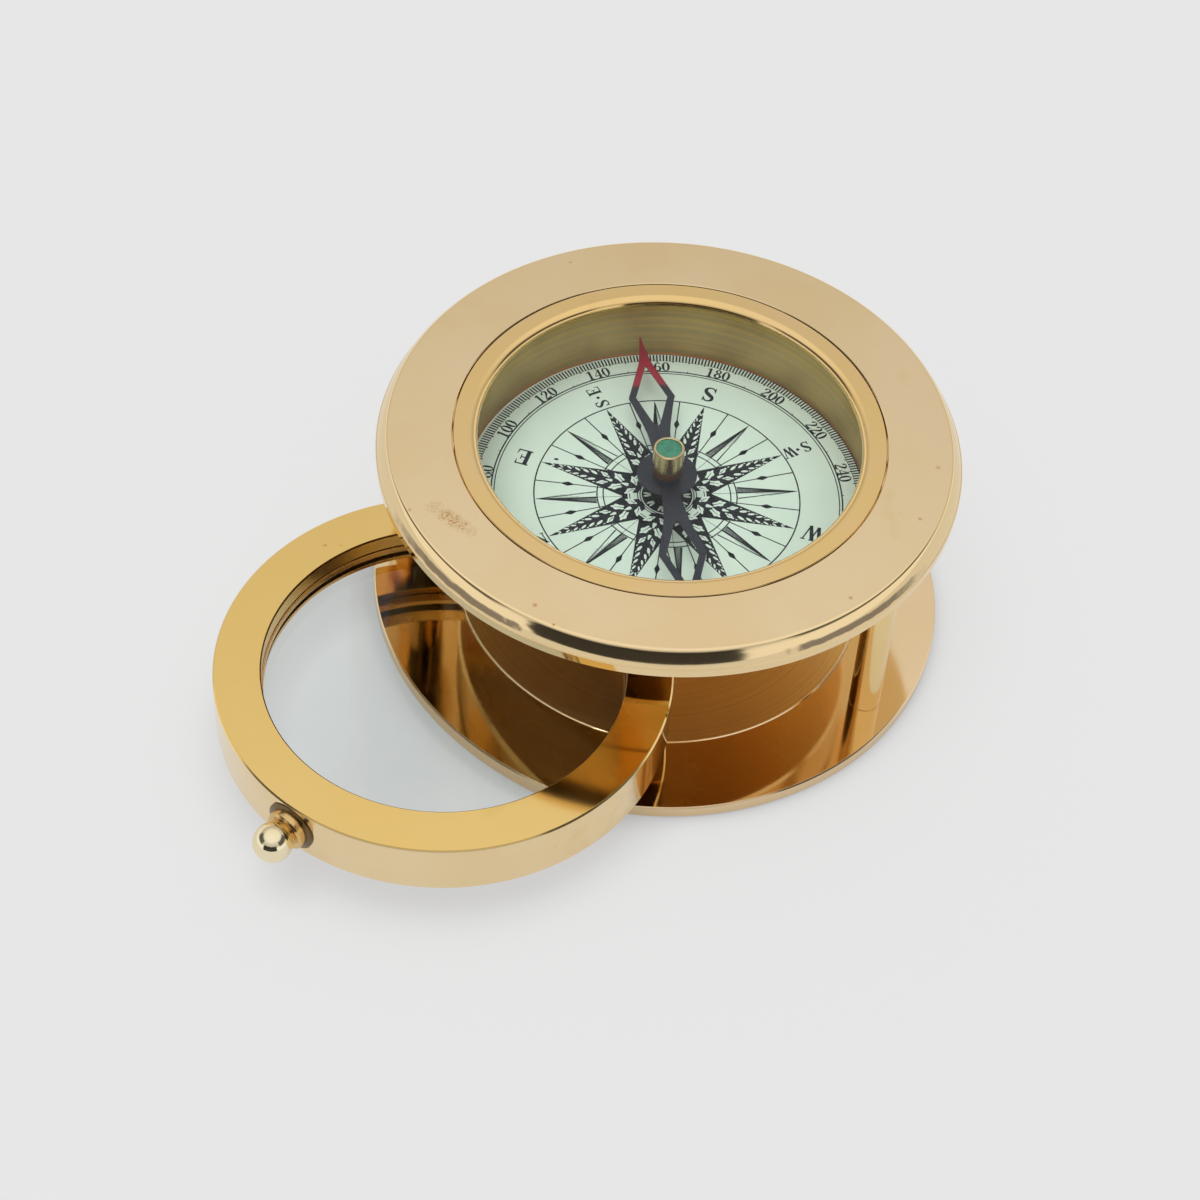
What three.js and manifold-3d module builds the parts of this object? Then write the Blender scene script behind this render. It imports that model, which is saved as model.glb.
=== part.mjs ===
// Desk compass with a magnifying glass that swings out from between its two round plates.
// Lengths are in millimetres and +Z is up. The underside of the base is at z = 0 and the centre of the
// compass is at x = y = 0. The front is -Y.
import * as THREE from "three";
import { mergeVertices } from "three/addons/utils/BufferGeometryUtils.js";
import Module from "manifold-3d";

// Base plate
const baseRadius = 38.1;
const baseThickness = 2.0;
const baseLowerEdge = 0.3;
const baseUpperEdge = 0.18;
const satinMargin = 0.05;
const satinDepth = 0.15;

// Posts between the plates
const postInset = 4.8;
const postRadius = 2.05;
const postSpigotRadius = 1.3;
const postSpigotLength = 1.9;
const postRightAngle = -32.1;
const postBackAngle = 70.0;
const pivotAngle = 169.5;
const fitGap = 0.1;
const holeEndGap = 0.2;

// Screws under the base
const screwHeadRadius = 2.6;
const screwHeadDepth = 1.2;
const screwRadius = 1.1;
const screwLength = 5.0;
const screwTipEdge = 0.3;
const screwSlotWidth = 0.55;
const screwSlotDepth = 0.5;
const screwInset = 0.15;

// Top plate
const plateThickness = 3.6;
const plateInset = 0.2;
const plateBand = 1.3;
const plateStep = 0.1;
const plateEdgeWidth = 1.65;
const plateLowerEdge = 0.12;
const plateLedgeThickness = 0.8;
const grooveWidth = 0.35;
const grooveEdge = 0.1;

// Compass bowl, its glass and its bezel
const bowlPostGap = 3.85;
const bowlBoreGap = 0.15;
const bowlWall = 0.8;
const bowlFloor = 1.0;
const bowlLowerEdge = 0.4;
const bowlFlangeWidth = 0.45;
const bowlFlangeFloor = 0.2;
const glassThickness = 1.4;
const glassRim = 0.65;
const glassGap = 0.15;
const bezelWidth = 3.05;
const bezelRoundWidth = 1.1;
const bezelLip = 0.25;
const bezelUndercut = 0.15;
const bezelOuterEdge = 0.12;

// Dial and needle
const dialGap = 0.1;
const dialThickness = 0.3;
const pinRadius = 0.55;
const pinFootRadius = 0.8;
const pinFootDepth = 0.6;
const pinFootGap = 0.05;
const pinCollarHeight = 0.5;
const pinCollarSlope = 0.3;
const pinPointLength = 1.3;
const pinPointRadius = 0.1;
const needleRise = 3.95;
const needleThickness = 0.25;
const needleTipGap = 0.9;
const needleKinkWidth = 3.1;
const needleHubRadius = 3.95;
const needleHoleGap = 0.05;
const needleAngle = 100.4;
const collarRadius = 1.95;
const collarHeight = 1.55;
const collarSpigotRadius = 1.4;
const collarSpigotEnd = 0.2;
const collarBore = 0.95;
const capRadius = 2.05;
const capHeight = 3.12;
const capBore = 1.15;
const capRimWidth = 0.38;
const capEdge = 0.1;
const capCrown = 0.82;
const capGlassGap = 0.93;
const enamelDepth = 0.35;
const enamelGap = 0.03;
const enamelEdge = 0.05;
const jewelThickness = 0.5;
const jewelGap = 0.03;
const jewelHollow = 0.22;
const jewelHollowRadius = 0.5;
const jewelOverPoint = 0.1;

// Magnifier
const swingAngle = -69.2;
const pivotShaftRadius = 2.0;
const pivotRunningGap = 0.08;
const sleeveRadius = 3.1;
const sleeveBoreGap = 0.1;
const sleeveEdge = 0.1;
const ringRise = 4.3;
const ringHeight = 7.7;
const ringEndGap = 0.12;
const ringPostGap = 2.0;
const ringBowlGap = 3.9;
const ringWall = 4.85;
const ringChamfer = 0.22;
const ringLipWidth = 1.25;
const ringLipThickness = 2.25;
const ringLipEdge = 0.18;
const seatRingInset = 0.15;
const seatRingHeight = 0.95;
const seatRingGap = 0.15;
const lensGap = 0.12;
const lensShoulder = 1.38;
const lensEdgeThickness = 2.2;
const lensSurfaceRadius = 255.0;
const retainerWall = 1.08;
const retainerHeight = 0.8;
const lugRadius = 4.0;
const lugWebWidth = 7.2;
const lugWebReach = 6.2;

// Knob on the side of the ring
const knobAngle = -45.1;
const knobSeatDepth = 0.2;
const knobSeatRadius = 3.6;
const knobCollarRadius = 3.45;
const knobCollarBevel = 0.58;
const knobCollarRim = 0.25;
const knobCollarThickness = 0.45;
const knobStudRadius = 1.0;
const knobStudLength = 3.45;
const knobShoulderRadius = 2.75;
const knobShoulderThickness = 1.1;
const knobShoulderEdge = 0.25;
const knobNeckRadius = 1.9;
const knobNeckLength = 0.2;
const knobNeckFillet = 0.12;
const knobBallRadius = 2.55;

// How finely round shapes are cut
const largeSides = 72;
const innerSides = 60;
const mediumSides = 24;
const smallSides = 16;

// Distances from the middle that follow from the sizes above
const postCircle = baseRadius - postInset;
const ringOuterRadius = postCircle - postRadius - ringPostGap;
const ringBoreRadius = ringOuterRadius - ringWall;
const ringLipRadius = ringBoreRadius - ringLipWidth;
const seatRingInnerRadius = ringLipRadius - seatRingInset;
const lensRadius = ringBoreRadius - lensGap;
const lensClearRadius = lensRadius - lensShoulder;
const retainerInnerRadius = lensRadius - retainerWall;
const bowlRadius = postCircle - postRadius - bowlPostGap;
const bowlInnerRadius = bowlRadius - bowlWall;
const bowlFlangeRadius = bowlRadius + bowlFlangeWidth;
const glassPocketRadius = bowlFlangeRadius - glassRim;
const glassRadius = glassPocketRadius - glassGap;
const dialRadius = bowlInnerRadius - dialGap;
const needleLength = dialRadius - needleTipGap;
const satinRadius = bowlRadius + satinMargin;
const plateRadius = baseRadius - plateInset;
const plateFlatRadius = plateRadius - plateEdgeWidth;
const plateBoreRadius = bowlRadius + bowlBoreGap;
const plateRecessRadius = bowlFlangeRadius + grooveWidth;
const bezelInnerRadius = bowlFlangeRadius - bezelWidth;
const bezelFlatRadius = bezelInnerRadius + bezelRoundWidth;
const enamelPocketRadius = capRadius - capRimWidth;

// Heights that follow from the sizes above, from the base upwards
const ringUnderside = baseThickness + ringRise;
const ringTop = ringUnderside + ringHeight;
const ringMiddle = (ringUnderside + ringTop) / 2;
const ringLipUnderside = ringTop - ringLipThickness;
const seatRingTop = ringLipUnderside - seatRingGap;
const lensSeat = seatRingTop - seatRingHeight;
const lensUnderside = lensSeat - lensEdgeThickness;
const bowlUnderside = ringTop + ringBowlGap;
const bowlFloorTop = bowlUnderside + bowlFloor;
const pinFoot = bowlFloorTop - pinFootDepth;
const dialFace = bowlFloorTop + dialThickness;
const needleUnderside = dialFace + needleRise;
const needleTop = needleUnderside + needleThickness;
const capFoot = needleTop + collarHeight;
const capTop = capFoot + capHeight;
const enamelSeat = capTop - enamelDepth;
const jewelTop = enamelSeat - capCrown;
const jewelUnderside = jewelTop - jewelThickness;
const pinTop = jewelUnderside + jewelOverPoint;
const glassSeat = capTop + capGlassGap;
const glassTop = glassSeat + glassThickness;
const plateLedge = glassSeat - bowlFlangeFloor;
const plateUnderside = plateLedge - plateLedgeThickness;
const plateTop = plateUnderside + plateThickness;

// Distances of the knob's parts from the ring's centre
const knobSeat = ringOuterRadius - knobSeatDepth;
const knobFront = knobSeat + knobCollarThickness;
const knobStudEnd = knobSeat - knobStudLength;
const knobNeckEnd = knobFront + knobShoulderThickness + knobNeckLength;
const knobBallCentre = knobNeckEnd + Math.sqrt(knobBallRadius ** 2 - knobNeckRadius ** 2);

// How far a cutting body stands past the face that it opens
const past = 1.0;

const wasm = await Module();
wasm.setup();

const radians = (degrees) => (degrees * Math.PI) / 180;
const degrees = (angle) => (angle * 180) / Math.PI;
const onCircle = (radius, angle) => [radius * Math.cos(radians(angle)), radius * Math.sin(radians(angle))];

// A body turned about Z from a list of [radius, height]. A profile that leaves the axis and comes back to it
// is solid in the middle; any other profile is closed on itself and makes a ring.
function turned(profile, sides) {
  const onAxis = profile[0][0] === 0 && profile[profile.length - 1][0] === 0;
  const points = profile.map(([r, z]) => new THREE.Vector2(r, z));
  if (!onAxis) {
    points.push(points[0].clone());
  }
  const geometry = new THREE.LatheGeometry(points, sides);
  geometry.rotateX(Math.PI / 2);
  return geometry;
}

// Points along a part of an ellipse, from one angle to another.
function arc(centre, reachR, reachZ, fromAngle, toAngle, steps) {
  const points = [];
  for (let i = 0; i <= steps; i += 1) {
    const angle = radians(fromAngle + ((toAngle - fromAngle) * i) / steps);
    points.push([centre[0] + reachR * Math.cos(angle), centre[1] + reachZ * Math.sin(angle)]);
  }
  return points;
}

// Turns a closed geometry into a solid that can be cut or joined.
function toSolid(geometry) {
  const bare = new THREE.BufferGeometry();
  bare.setAttribute("position", geometry.getAttribute("position").clone());
  if (geometry.index) {
    bare.setIndex(geometry.index.clone());
  }
  const merged = mergeVertices(bare, 1e-4);
  const corner = merged.index.array;
  const kept = [];
  for (let i = 0; i < corner.length; i += 3) {
    const [a, b, c] = [corner[i], corner[i + 1], corner[i + 2]];
    if (a !== b && b !== c && c !== a) {
      kept.push(a, b, c);
    }
  }
  const vertProperties = new Float32Array(merged.getAttribute("position").array);
  const asDrawn = new wasm.Mesh({ numProp: 3, vertProperties, triVerts: new Uint32Array(kept) });
  const forward = new wasm.Manifold(asDrawn);
  if (forward.volume() > 0) {
    return forward;
  }
  const turnedOver = [];
  for (let i = 0; i < kept.length; i += 3) {
    turnedOver.push(kept[i], kept[i + 2], kept[i + 1]);
  }
  const faced = new wasm.Mesh({ numProp: 3, vertProperties, triVerts: new Uint32Array(turnedOver) });
  return new wasm.Manifold(faced);
}

// Turns a solid back into a geometry.
function toGeometry(solid) {
  const mesh = solid.getMesh();
  const geometry = new THREE.BufferGeometry();
  geometry.setAttribute("position", new THREE.BufferAttribute(new Float32Array(mesh.vertProperties), 3));
  geometry.setIndex(new THREE.BufferAttribute(new Uint32Array(mesh.triVerts), 1));
  geometry.computeVertexNormals();
  return geometry;
}

// A plain round bar from one height to another.
function bar(radius, fromZ, toZ, sides, x = 0, y = 0) {
  const geometry = new THREE.CylinderGeometry(radius, radius, toZ - fromZ, sides);
  geometry.rotateX(Math.PI / 2);
  geometry.translate(x, y, (fromZ + toZ) / 2);
  return toSolid(geometry);
}

function cut(solid, tools) {
  return tools.reduce((left, tool) => left.subtract(tool), solid);
}

function metal(colour, roughness) {
  return new THREE.MeshStandardMaterial({ color: colour, roughness, metalness: 1 });
}

function plain(colour, roughness) {
  return new THREE.MeshStandardMaterial({ color: colour, roughness, metalness: 0 });
}

function clear(colour) {
  return new THREE.MeshStandardMaterial({
    color: colour,
    roughness: 0.02,
    metalness: 0,
    transparent: true,
    opacity: 0.25,
  });
}

function piece(name, geometry, material) {
  const mesh = new THREE.Mesh(geometry, material);
  mesh.name = name;
  return mesh;
}

const postPlaces = {
  right: onCircle(postCircle, postRightAngle),
  back: onCircle(postCircle, postBackAngle),
  pivot: onCircle(postCircle, pivotAngle),
};

// The base plate has a shallow turned disc in the middle and a countersunk hole under each post.
function basePlate() {
  const profile = [
    [0, 0],
    [baseRadius - baseLowerEdge, 0],
    [baseRadius, baseLowerEdge],
    [baseRadius, baseThickness - baseUpperEdge],
    [baseRadius - baseUpperEdge, baseThickness],
    [satinRadius, baseThickness],
    [satinRadius - satinDepth, baseThickness - satinDepth],
    [0, baseThickness - satinDepth],
  ];
  const sinkEnd = screwInset + screwHeadDepth + fitGap;
  const holes = Object.values(postPlaces).flatMap(([x, y]) => {
    const sink = turned(
      [
        [0, -past],
        [screwHeadRadius + fitGap, -past],
        [screwHeadRadius + fitGap, screwInset],
        [screwRadius + fitGap, sinkEnd],
        [0, sinkEnd],
      ],
      smallSides,
    );
    sink.translate(x, y, 0);
    return [toSolid(sink), bar(screwRadius + fitGap, screwInset, baseThickness + past, smallSides, x, y)];
  });
  return toGeometry(cut(toSolid(turned(profile, largeSides)), holes));
}

// The top plate's edge slopes down from the flat top, as shares of the edge's width and of its height.
const edgeShares = [
  [1.0, 0.0],
  [0.683, 0.478],
  [0.254, 0.917],
  [0.141, 0.978],
  [0.0, 1.0],
];

// The top plate is flat with a sloping edge above a plain band, and has a stepped hole for the compass.
function topPlate() {
  const bandTop = plateUnderside + plateBand;
  const edgeReach = plateEdgeWidth - plateStep;
  const edgeHeight = plateTop - bandTop;
  const edge = edgeShares.map(([out, up]) => [plateFlatRadius + edgeReach * out, bandTop + edgeHeight * up]);
  const profile = [
    [plateBoreRadius, plateUnderside],
    [plateRadius - plateLowerEdge, plateUnderside],
    [plateRadius, plateUnderside + plateLowerEdge],
    [plateRadius, bandTop],
    ...edge,
    [plateRecessRadius + grooveEdge, plateTop],
    [plateRecessRadius, plateTop - grooveEdge],
    [plateRecessRadius, plateLedge],
    [plateBoreRadius, plateLedge],
  ];
  const holeEnd = plateUnderside + postSpigotLength + holeEndGap;
  const holes = Object.values(postPlaces).map(([x, y]) =>
    bar(postSpigotRadius + fitGap, plateUnderside - past, holeEnd, smallSides, x, y),
  );
  return toGeometry(cut(toSolid(turned(profile, largeSides)), holes));
}

// A post has a blind hole for its screw below and a thin end that goes into the top plate.
function post(radius) {
  const screwEnd = screwInset + screwLength;
  return turned(
    [
      [0, screwEnd + 2 * holeEndGap],
      [screwRadius + fitGap, screwEnd + holeEndGap],
      [screwRadius + fitGap, baseThickness],
      [radius, baseThickness],
      [radius, plateUnderside],
      [postSpigotRadius, plateUnderside],
      [postSpigotRadius, plateUnderside + postSpigotLength],
      [0, plateUnderside + postSpigotLength],
    ],
    mediumSides,
  );
}

function baseScrew() {
  const tip = screwInset + screwLength;
  const head = turned(
    [
      [0, screwInset],
      [screwHeadRadius, screwInset],
      [screwRadius, screwInset + screwHeadDepth],
      [screwRadius, tip - screwTipEdge],
      [screwRadius - screwTipEdge, tip],
      [0, tip],
    ],
    smallSides,
  );
  const slot = new THREE.BoxGeometry(3 * screwHeadRadius, screwSlotWidth, 2 * screwSlotDepth);
  slot.translate(0, 0, screwInset);
  return toGeometry(cut(toSolid(head), [toSolid(slot)]));
}

// A sleeve that goes round the pivot post between two heights.
function sleeve(fromZ, toZ) {
  const bore = pivotShaftRadius + sleeveBoreGap;
  return turned(
    [
      [bore, fromZ],
      [sleeveRadius - sleeveEdge, fromZ],
      [sleeveRadius, fromZ + sleeveEdge],
      [sleeveRadius, toZ - sleeveEdge],
      [sleeveRadius - sleeveEdge, toZ],
      [bore, toZ],
    ],
    mediumSides,
  );
}

// The bowl hangs in the top plate by its flange; the dial lies on its floor and the glass in its mouth.
function compassBowl() {
  return turned(
    [
      [0, bowlUnderside],
      [bowlRadius - bowlLowerEdge, bowlUnderside],
      [bowlRadius, bowlUnderside + bowlLowerEdge],
      [bowlRadius, plateLedge],
      [bowlFlangeRadius, plateLedge],
      [bowlFlangeRadius, glassTop],
      [glassPocketRadius, glassTop],
      [glassPocketRadius, glassSeat],
      [bowlInnerRadius, glassSeat],
      [bowlInnerRadius, bowlFloorTop],
      [pinFootRadius + pinFootGap, bowlFloorTop],
      [pinFootRadius + pinFootGap, pinFoot],
      [0, pinFoot],
    ],
    innerSides,
  );
}

// The bezel lies on the bowl's rim and the glass, and its inner edge is rounded.
function bezel() {
  const roundFoot = glassTop + bezelLip;
  return turned(
    [
      [bezelInnerRadius + bezelUndercut, glassTop],
      [bowlFlangeRadius, glassTop],
      [bowlFlangeRadius, plateTop - bezelOuterEdge],
      [bowlFlangeRadius - bezelOuterEdge, plateTop],
      ...arc([bezelFlatRadius, roundFoot], bezelRoundWidth, plateTop - roundFoot, 90, 180, 5),
    ],
    innerSides,
  );
}

function compassGlass() {
  return turned(
    [
      [0, glassSeat],
      [glassRadius, glassSeat],
      [glassRadius, glassTop],
      [0, glassTop],
    ],
    innerSides,
  );
}

function dialCard() {
  const hole = pinFootRadius + fitGap;
  return turned(
    [
      [hole, bowlFloorTop],
      [dialRadius, bowlFloorTop],
      [dialRadius, dialFace],
      [hole, dialFace],
    ],
    innerSides,
  );
}

function needlePin() {
  const collarTop = dialFace + pinCollarHeight;
  return turned(
    [
      [0, pinFoot],
      [pinFootRadius, pinFoot],
      [pinFootRadius, collarTop],
      [pinRadius, collarTop + pinCollarSlope],
      [pinRadius, pinTop - pinPointLength],
      [pinPointRadius, pinTop],
      [0, pinTop],
    ],
    smallSides,
  );
}

// The needle is one flat sheet: a round hub and two arms, each split into two bowed prongs. Its outline is
// drawn as shares of the needle's length and of the half width at the kinks.
const armShares = [
  [0.145, 0.37],
  [0.289, 0.484],
  [0.359, 0.597],
  [0.527, 0.935],
  [0.547, 1.0],
  [0.566, 0.952],
  [0.805, 0.274],
  [0.953, 0.071],
  [1.0, 0.016],
];
const openingShares = [
  [0.336, 0.0],
  [0.355, 0.145],
  [0.551, 0.694],
  [0.777, 0.039],
  [0.777, -0.039],
  [0.551, -0.694],
  [0.355, -0.145],
];

function needleSheet() {
  const drawn = (points, signX, signY) =>
    points.map(([x, y]) => new THREE.Vector2(x * needleLength * signX, y * needleKinkWidth * signY));
  const backwards = [...armShares].reverse();
  const arms = new THREE.Shape([
    ...drawn(armShares, 1, -1),
    ...drawn(backwards, 1, 1),
    ...drawn(armShares, -1, 1),
    ...drawn(backwards, -1, -1),
  ]);
  [1, -1].forEach((side) => {
    arms.holes.push(new THREE.Path(drawn(openingShares, side, 1)));
  });
  const sheet = new THREE.ExtrudeGeometry(arms, { depth: needleThickness, bevelEnabled: false });
  sheet.translate(0, 0, needleUnderside);
  const hub = bar(needleHubRadius, needleUnderside, needleTop, mediumSides);
  const hole = bar(collarSpigotRadius + needleHoleGap, needleUnderside - past, needleTop + past, smallSides);
  return toGeometry(toSolid(sheet).add(hub).subtract(hole));
}

// The collar stands on the needle, and its thin end goes through the needle's hole.
function needleCollar() {
  const foot = needleUnderside - collarSpigotEnd;
  return turned(
    [
      [collarBore, foot],
      [collarSpigotRadius, foot],
      [collarSpigotRadius, needleTop],
      [collarRadius, needleTop],
      [collarRadius, capFoot],
      [collarBore, capFoot],
    ],
    smallSides,
  );
}

function needleCap() {
  return turned(
    [
      [capBore, capFoot],
      [capRadius - capEdge, capFoot],
      [capRadius, capFoot + capEdge],
      [capRadius, capTop - capEdge],
      [capRadius - capEdge, capTop],
      [enamelPocketRadius, capTop],
      [enamelPocketRadius, enamelSeat],
      [0, enamelSeat],
      [0, jewelTop],
      [capBore, jewelTop],
    ],
    mediumSides,
  );
}

function capEnamel() {
  const radius = enamelPocketRadius - enamelGap;
  return turned(
    [
      [0, enamelSeat],
      [radius, enamelSeat],
      [radius, capTop - enamelEdge],
      [0, capTop],
    ],
    mediumSides,
  );
}

// The jewel is a disc with a small hollow that the pin's point sits in.
function capJewel() {
  return turned(
    [
      [0, jewelUnderside + jewelHollow],
      [jewelHollowRadius, jewelUnderside],
      [capBore - jewelGap, jewelUnderside],
      [capBore - jewelGap, jewelTop],
      [0, jewelTop],
    ],
    smallSides,
  );
}

// The next pieces stand in the frame of the pivot: the pivot is at x = y = 0 and the ring's centre on +X.
// A part of the knob is drawn about Z from the ring's centre outwards and then laid in the knob's direction.
function towardsKnob(geometry) {
  geometry.rotateY(Math.PI / 2);
  geometry.rotateZ(radians(knobAngle));
  geometry.translate(postCircle, 0, ringMiddle);
  return geometry;
}

// The ring has a lip over the lens, a lug for the pivot, and a flat spot with a hole for the knob.
function magnifierRing() {
  const profile = [
    [ringBoreRadius, ringUnderside],
    [ringOuterRadius - ringChamfer, ringUnderside],
    [ringOuterRadius, ringUnderside + ringChamfer],
    [ringOuterRadius, ringTop - ringChamfer],
    [ringOuterRadius - ringChamfer, ringTop],
    [ringLipRadius + ringLipEdge, ringTop],
    [ringLipRadius, ringTop - ringLipEdge],
    [ringLipRadius, ringLipUnderside],
    [ringBoreRadius, ringLipUnderside],
  ];
  const ring = turned(profile, largeSides);
  ring.translate(postCircle, 0, 0);
  const lug = bar(lugRadius, ringUnderside, ringTop, mediumSides);
  const web = new THREE.BoxGeometry(lugWebReach, lugWebWidth, ringHeight);
  web.translate(lugWebReach / 2, 0, ringMiddle);
  const holeFoot = ringUnderside - past;
  const holeTop = ringTop + past;
  const middle = bar(ringBoreRadius + ringWall / 4, holeFoot, holeTop, innerSides, postCircle, 0);
  const bore = bar(pivotShaftRadius + pivotRunningGap, holeFoot, holeTop, mediumSides);
  const ear = cut(lug.add(toSolid(web)), [middle, bore]);
  const seat = turned(
    [
      [0, knobSeat],
      [knobSeatRadius, knobSeat],
      [knobSeatRadius, knobSeat + past],
      [0, knobSeat + past],
    ],
    mediumSides,
  );
  const studHole = turned(
    [
      [0, knobStudEnd - holeEndGap],
      [knobStudRadius + fitGap, knobStudEnd - holeEndGap / 2],
      [knobStudRadius + fitGap, knobSeat + past],
      [0, knobSeat + past],
    ],
    smallSides,
  );
  const forKnob = [seat, studHole].map((geometry) => toSolid(towardsKnob(geometry)));
  return toGeometry(cut(toSolid(ring).add(ear), forKnob));
}

// Both faces of the lens are parts of one sphere size, with a flat shoulder at the edge.
function lens() {
  const sagitta = (r) => Math.sqrt(lensSurfaceRadius ** 2 - r ** 2);
  const rise = (r) => sagitta(r) - sagitta(lensClearRadius);
  const steps = 4;
  const radii = Array.from({ length: steps + 1 }, (_, i) => (lensClearRadius * i) / steps);
  return turned(
    [
      ...radii.map((r) => [r, lensUnderside - rise(r)]),
      [lensRadius, lensUnderside],
      [lensRadius, lensSeat],
      ...[...radii].reverse().map((r) => [r, lensSeat + rise(r)]),
    ],
    innerSides,
  );
}

// The ring that the lens is pressed up against, just below the lip.
function lensSeatRing() {
  return turned(
    [
      [seatRingInnerRadius, lensSeat],
      [lensRadius, lensSeat],
      [lensRadius, seatRingTop],
      [seatRingInnerRadius, seatRingTop],
    ],
    innerSides,
  );
}

// The ring that holds the lens from below.
function lensRetainer() {
  const foot = lensUnderside - retainerHeight;
  return turned(
    [
      [retainerInnerRadius, foot],
      [lensRadius, foot],
      [lensRadius, lensUnderside],
      [retainerInnerRadius, lensUnderside],
    ],
    innerSides,
  );
}

function knobCollar() {
  return turned(
    [
      [knobStudRadius + fitGap, knobSeat],
      [knobCollarRadius, knobSeat],
      [knobCollarRadius, knobSeat + knobCollarRim],
      [knobCollarRadius - knobCollarBevel, knobFront],
      [knobStudRadius + fitGap, knobFront],
    ],
    mediumSides,
  );
}

// The knob is one turned piece: a stud in the ring, a shoulder on the collar, a short neck and a ball.
function ballKnob() {
  const shoulderEnd = knobFront + knobShoulderThickness;
  const neckAngle = degrees(Math.asin(knobNeckRadius / knobBallRadius));
  const ball = arc([0, knobBallCentre], knobBallRadius, knobBallRadius, neckAngle - 90, 90, 7);
  ball[ball.length - 1][0] = 0;
  return turned(
    [
      [0, knobStudEnd],
      [knobStudRadius, knobStudEnd],
      [knobStudRadius, knobFront],
      [knobShoulderRadius, knobFront],
      [knobShoulderRadius, shoulderEnd - knobShoulderEdge],
      [knobShoulderRadius - knobShoulderEdge, shoulderEnd],
      [knobNeckRadius - knobNeckFillet, shoulderEnd],
      ...ball,
    ],
    mediumSides,
  );
}

const brass = 0xd9b366;
const darkBrass = 0x8a7440;
const steel = 0x9a9a9a;
const blackSteel = 0x2a2a30;
const copperBrown = 0x9c6a3c;
const paleCard = 0xd5e3d8;
const greenEnamel = 0x1f9a68;
const rubyRed = 0xb03040;
const glassTint = 0xf4f8f6;

const model = new THREE.Group();
model.name = "magnifier_compass";
model.add(piece("base_plate", basePlate(), metal(brass, 0.12)));
model.add(piece("top_plate", topPlate(), metal(brass, 0.1)));

[
  ["right", postPlaces.right, postRadius, 20],
  ["back", postPlaces.back, postRadius, 65],
  ["pivot", postPlaces.pivot, pivotShaftRadius, 65],
].forEach(([name, [x, y], radius, slotAngle]) => {
  const upright = piece(`post_${name}`, post(radius), metal(brass, 0.12));
  upright.position.set(x, y, 0);
  model.add(upright);
  const screw = piece(`screw_${name}`, baseScrew(), metal(brass, 0.3));
  screw.position.set(x, y, 0);
  screw.rotation.z = radians(slotAngle);
  model.add(screw);
});

[
  ["sleeve_lower", baseThickness, ringUnderside - ringEndGap],
  ["sleeve_upper", ringTop + ringEndGap, plateUnderside],
].forEach(([name, fromZ, toZ]) => {
  const tube = piece(name, sleeve(fromZ, toZ), metal(brass, 0.15));
  tube.position.set(postPlaces.pivot[0], postPlaces.pivot[1], 0);
  model.add(tube);
});

model.add(piece("compass_bowl", compassBowl(), metal(darkBrass, 0.4)));
model.add(piece("bezel", bezel(), metal(brass, 0.1)));
model.add(piece("compass_glass", compassGlass(), clear(glassTint)));
model.add(piece("dial_card", dialCard(), plain(paleCard, 0.6)));
model.add(piece("needle_pin", needlePin(), metal(steel, 0.3)));

const needle = new THREE.Group();
needle.name = "needle_group";
needle.rotation.z = radians(needleAngle);
needle.add(piece("needle", needleSheet(), metal(blackSteel, 0.35)));
needle.add(piece("needle_collar", needleCollar(), metal(copperBrown, 0.3)));
needle.add(piece("needle_cap", needleCap(), metal(brass, 0.2)));
needle.add(piece("cap_enamel", capEnamel(), plain(greenEnamel, 0.25)));
needle.add(piece("cap_jewel", capJewel(), plain(rubyRed, 0.2)));
model.add(needle);

const magnifier = new THREE.Group();
magnifier.name = "magnifier_group";
magnifier.position.set(postPlaces.pivot[0], postPlaces.pivot[1], 0);
magnifier.rotation.z = radians(pivotAngle - 180 + swingAngle);
magnifier.add(piece("magnifier_ring", magnifierRing(), metal(brass, 0.1)));
[
  ["lens", lens(), clear(glassTint)],
  ["lens_seat_ring", lensSeatRing(), metal(brass, 0.2)],
  ["lens_retainer", lensRetainer(), metal(brass, 0.25)],
].forEach(([name, geometry, material]) => {
  const inRing = piece(name, geometry, material);
  inRing.position.x = postCircle;
  magnifier.add(inRing);
});
magnifier.add(piece("knob_collar", towardsKnob(knobCollar()), metal(brass, 0.15)));
magnifier.add(piece("knob", towardsKnob(ballKnob()), metal(brass, 0.08)));
model.add(magnifier);

export default model;
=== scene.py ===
import math

import bmesh
import bpy
from mathutils import Matrix, Vector


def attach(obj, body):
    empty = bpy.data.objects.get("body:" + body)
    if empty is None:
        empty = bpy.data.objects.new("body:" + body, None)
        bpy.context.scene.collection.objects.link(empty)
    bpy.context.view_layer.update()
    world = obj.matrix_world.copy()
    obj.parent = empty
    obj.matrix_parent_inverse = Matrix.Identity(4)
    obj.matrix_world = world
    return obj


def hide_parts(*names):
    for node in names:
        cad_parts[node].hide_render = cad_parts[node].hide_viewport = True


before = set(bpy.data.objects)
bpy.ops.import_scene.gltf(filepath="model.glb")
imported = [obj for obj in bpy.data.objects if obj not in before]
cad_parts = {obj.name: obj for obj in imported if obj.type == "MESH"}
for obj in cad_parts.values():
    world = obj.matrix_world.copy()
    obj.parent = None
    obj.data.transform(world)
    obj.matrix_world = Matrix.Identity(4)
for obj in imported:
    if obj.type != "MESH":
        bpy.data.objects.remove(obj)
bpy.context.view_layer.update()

# Lengths below are in millimetres from the underside of the base and the middle of the compass.
# They become metres when a mesh is made.
MM = 0.001

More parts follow.
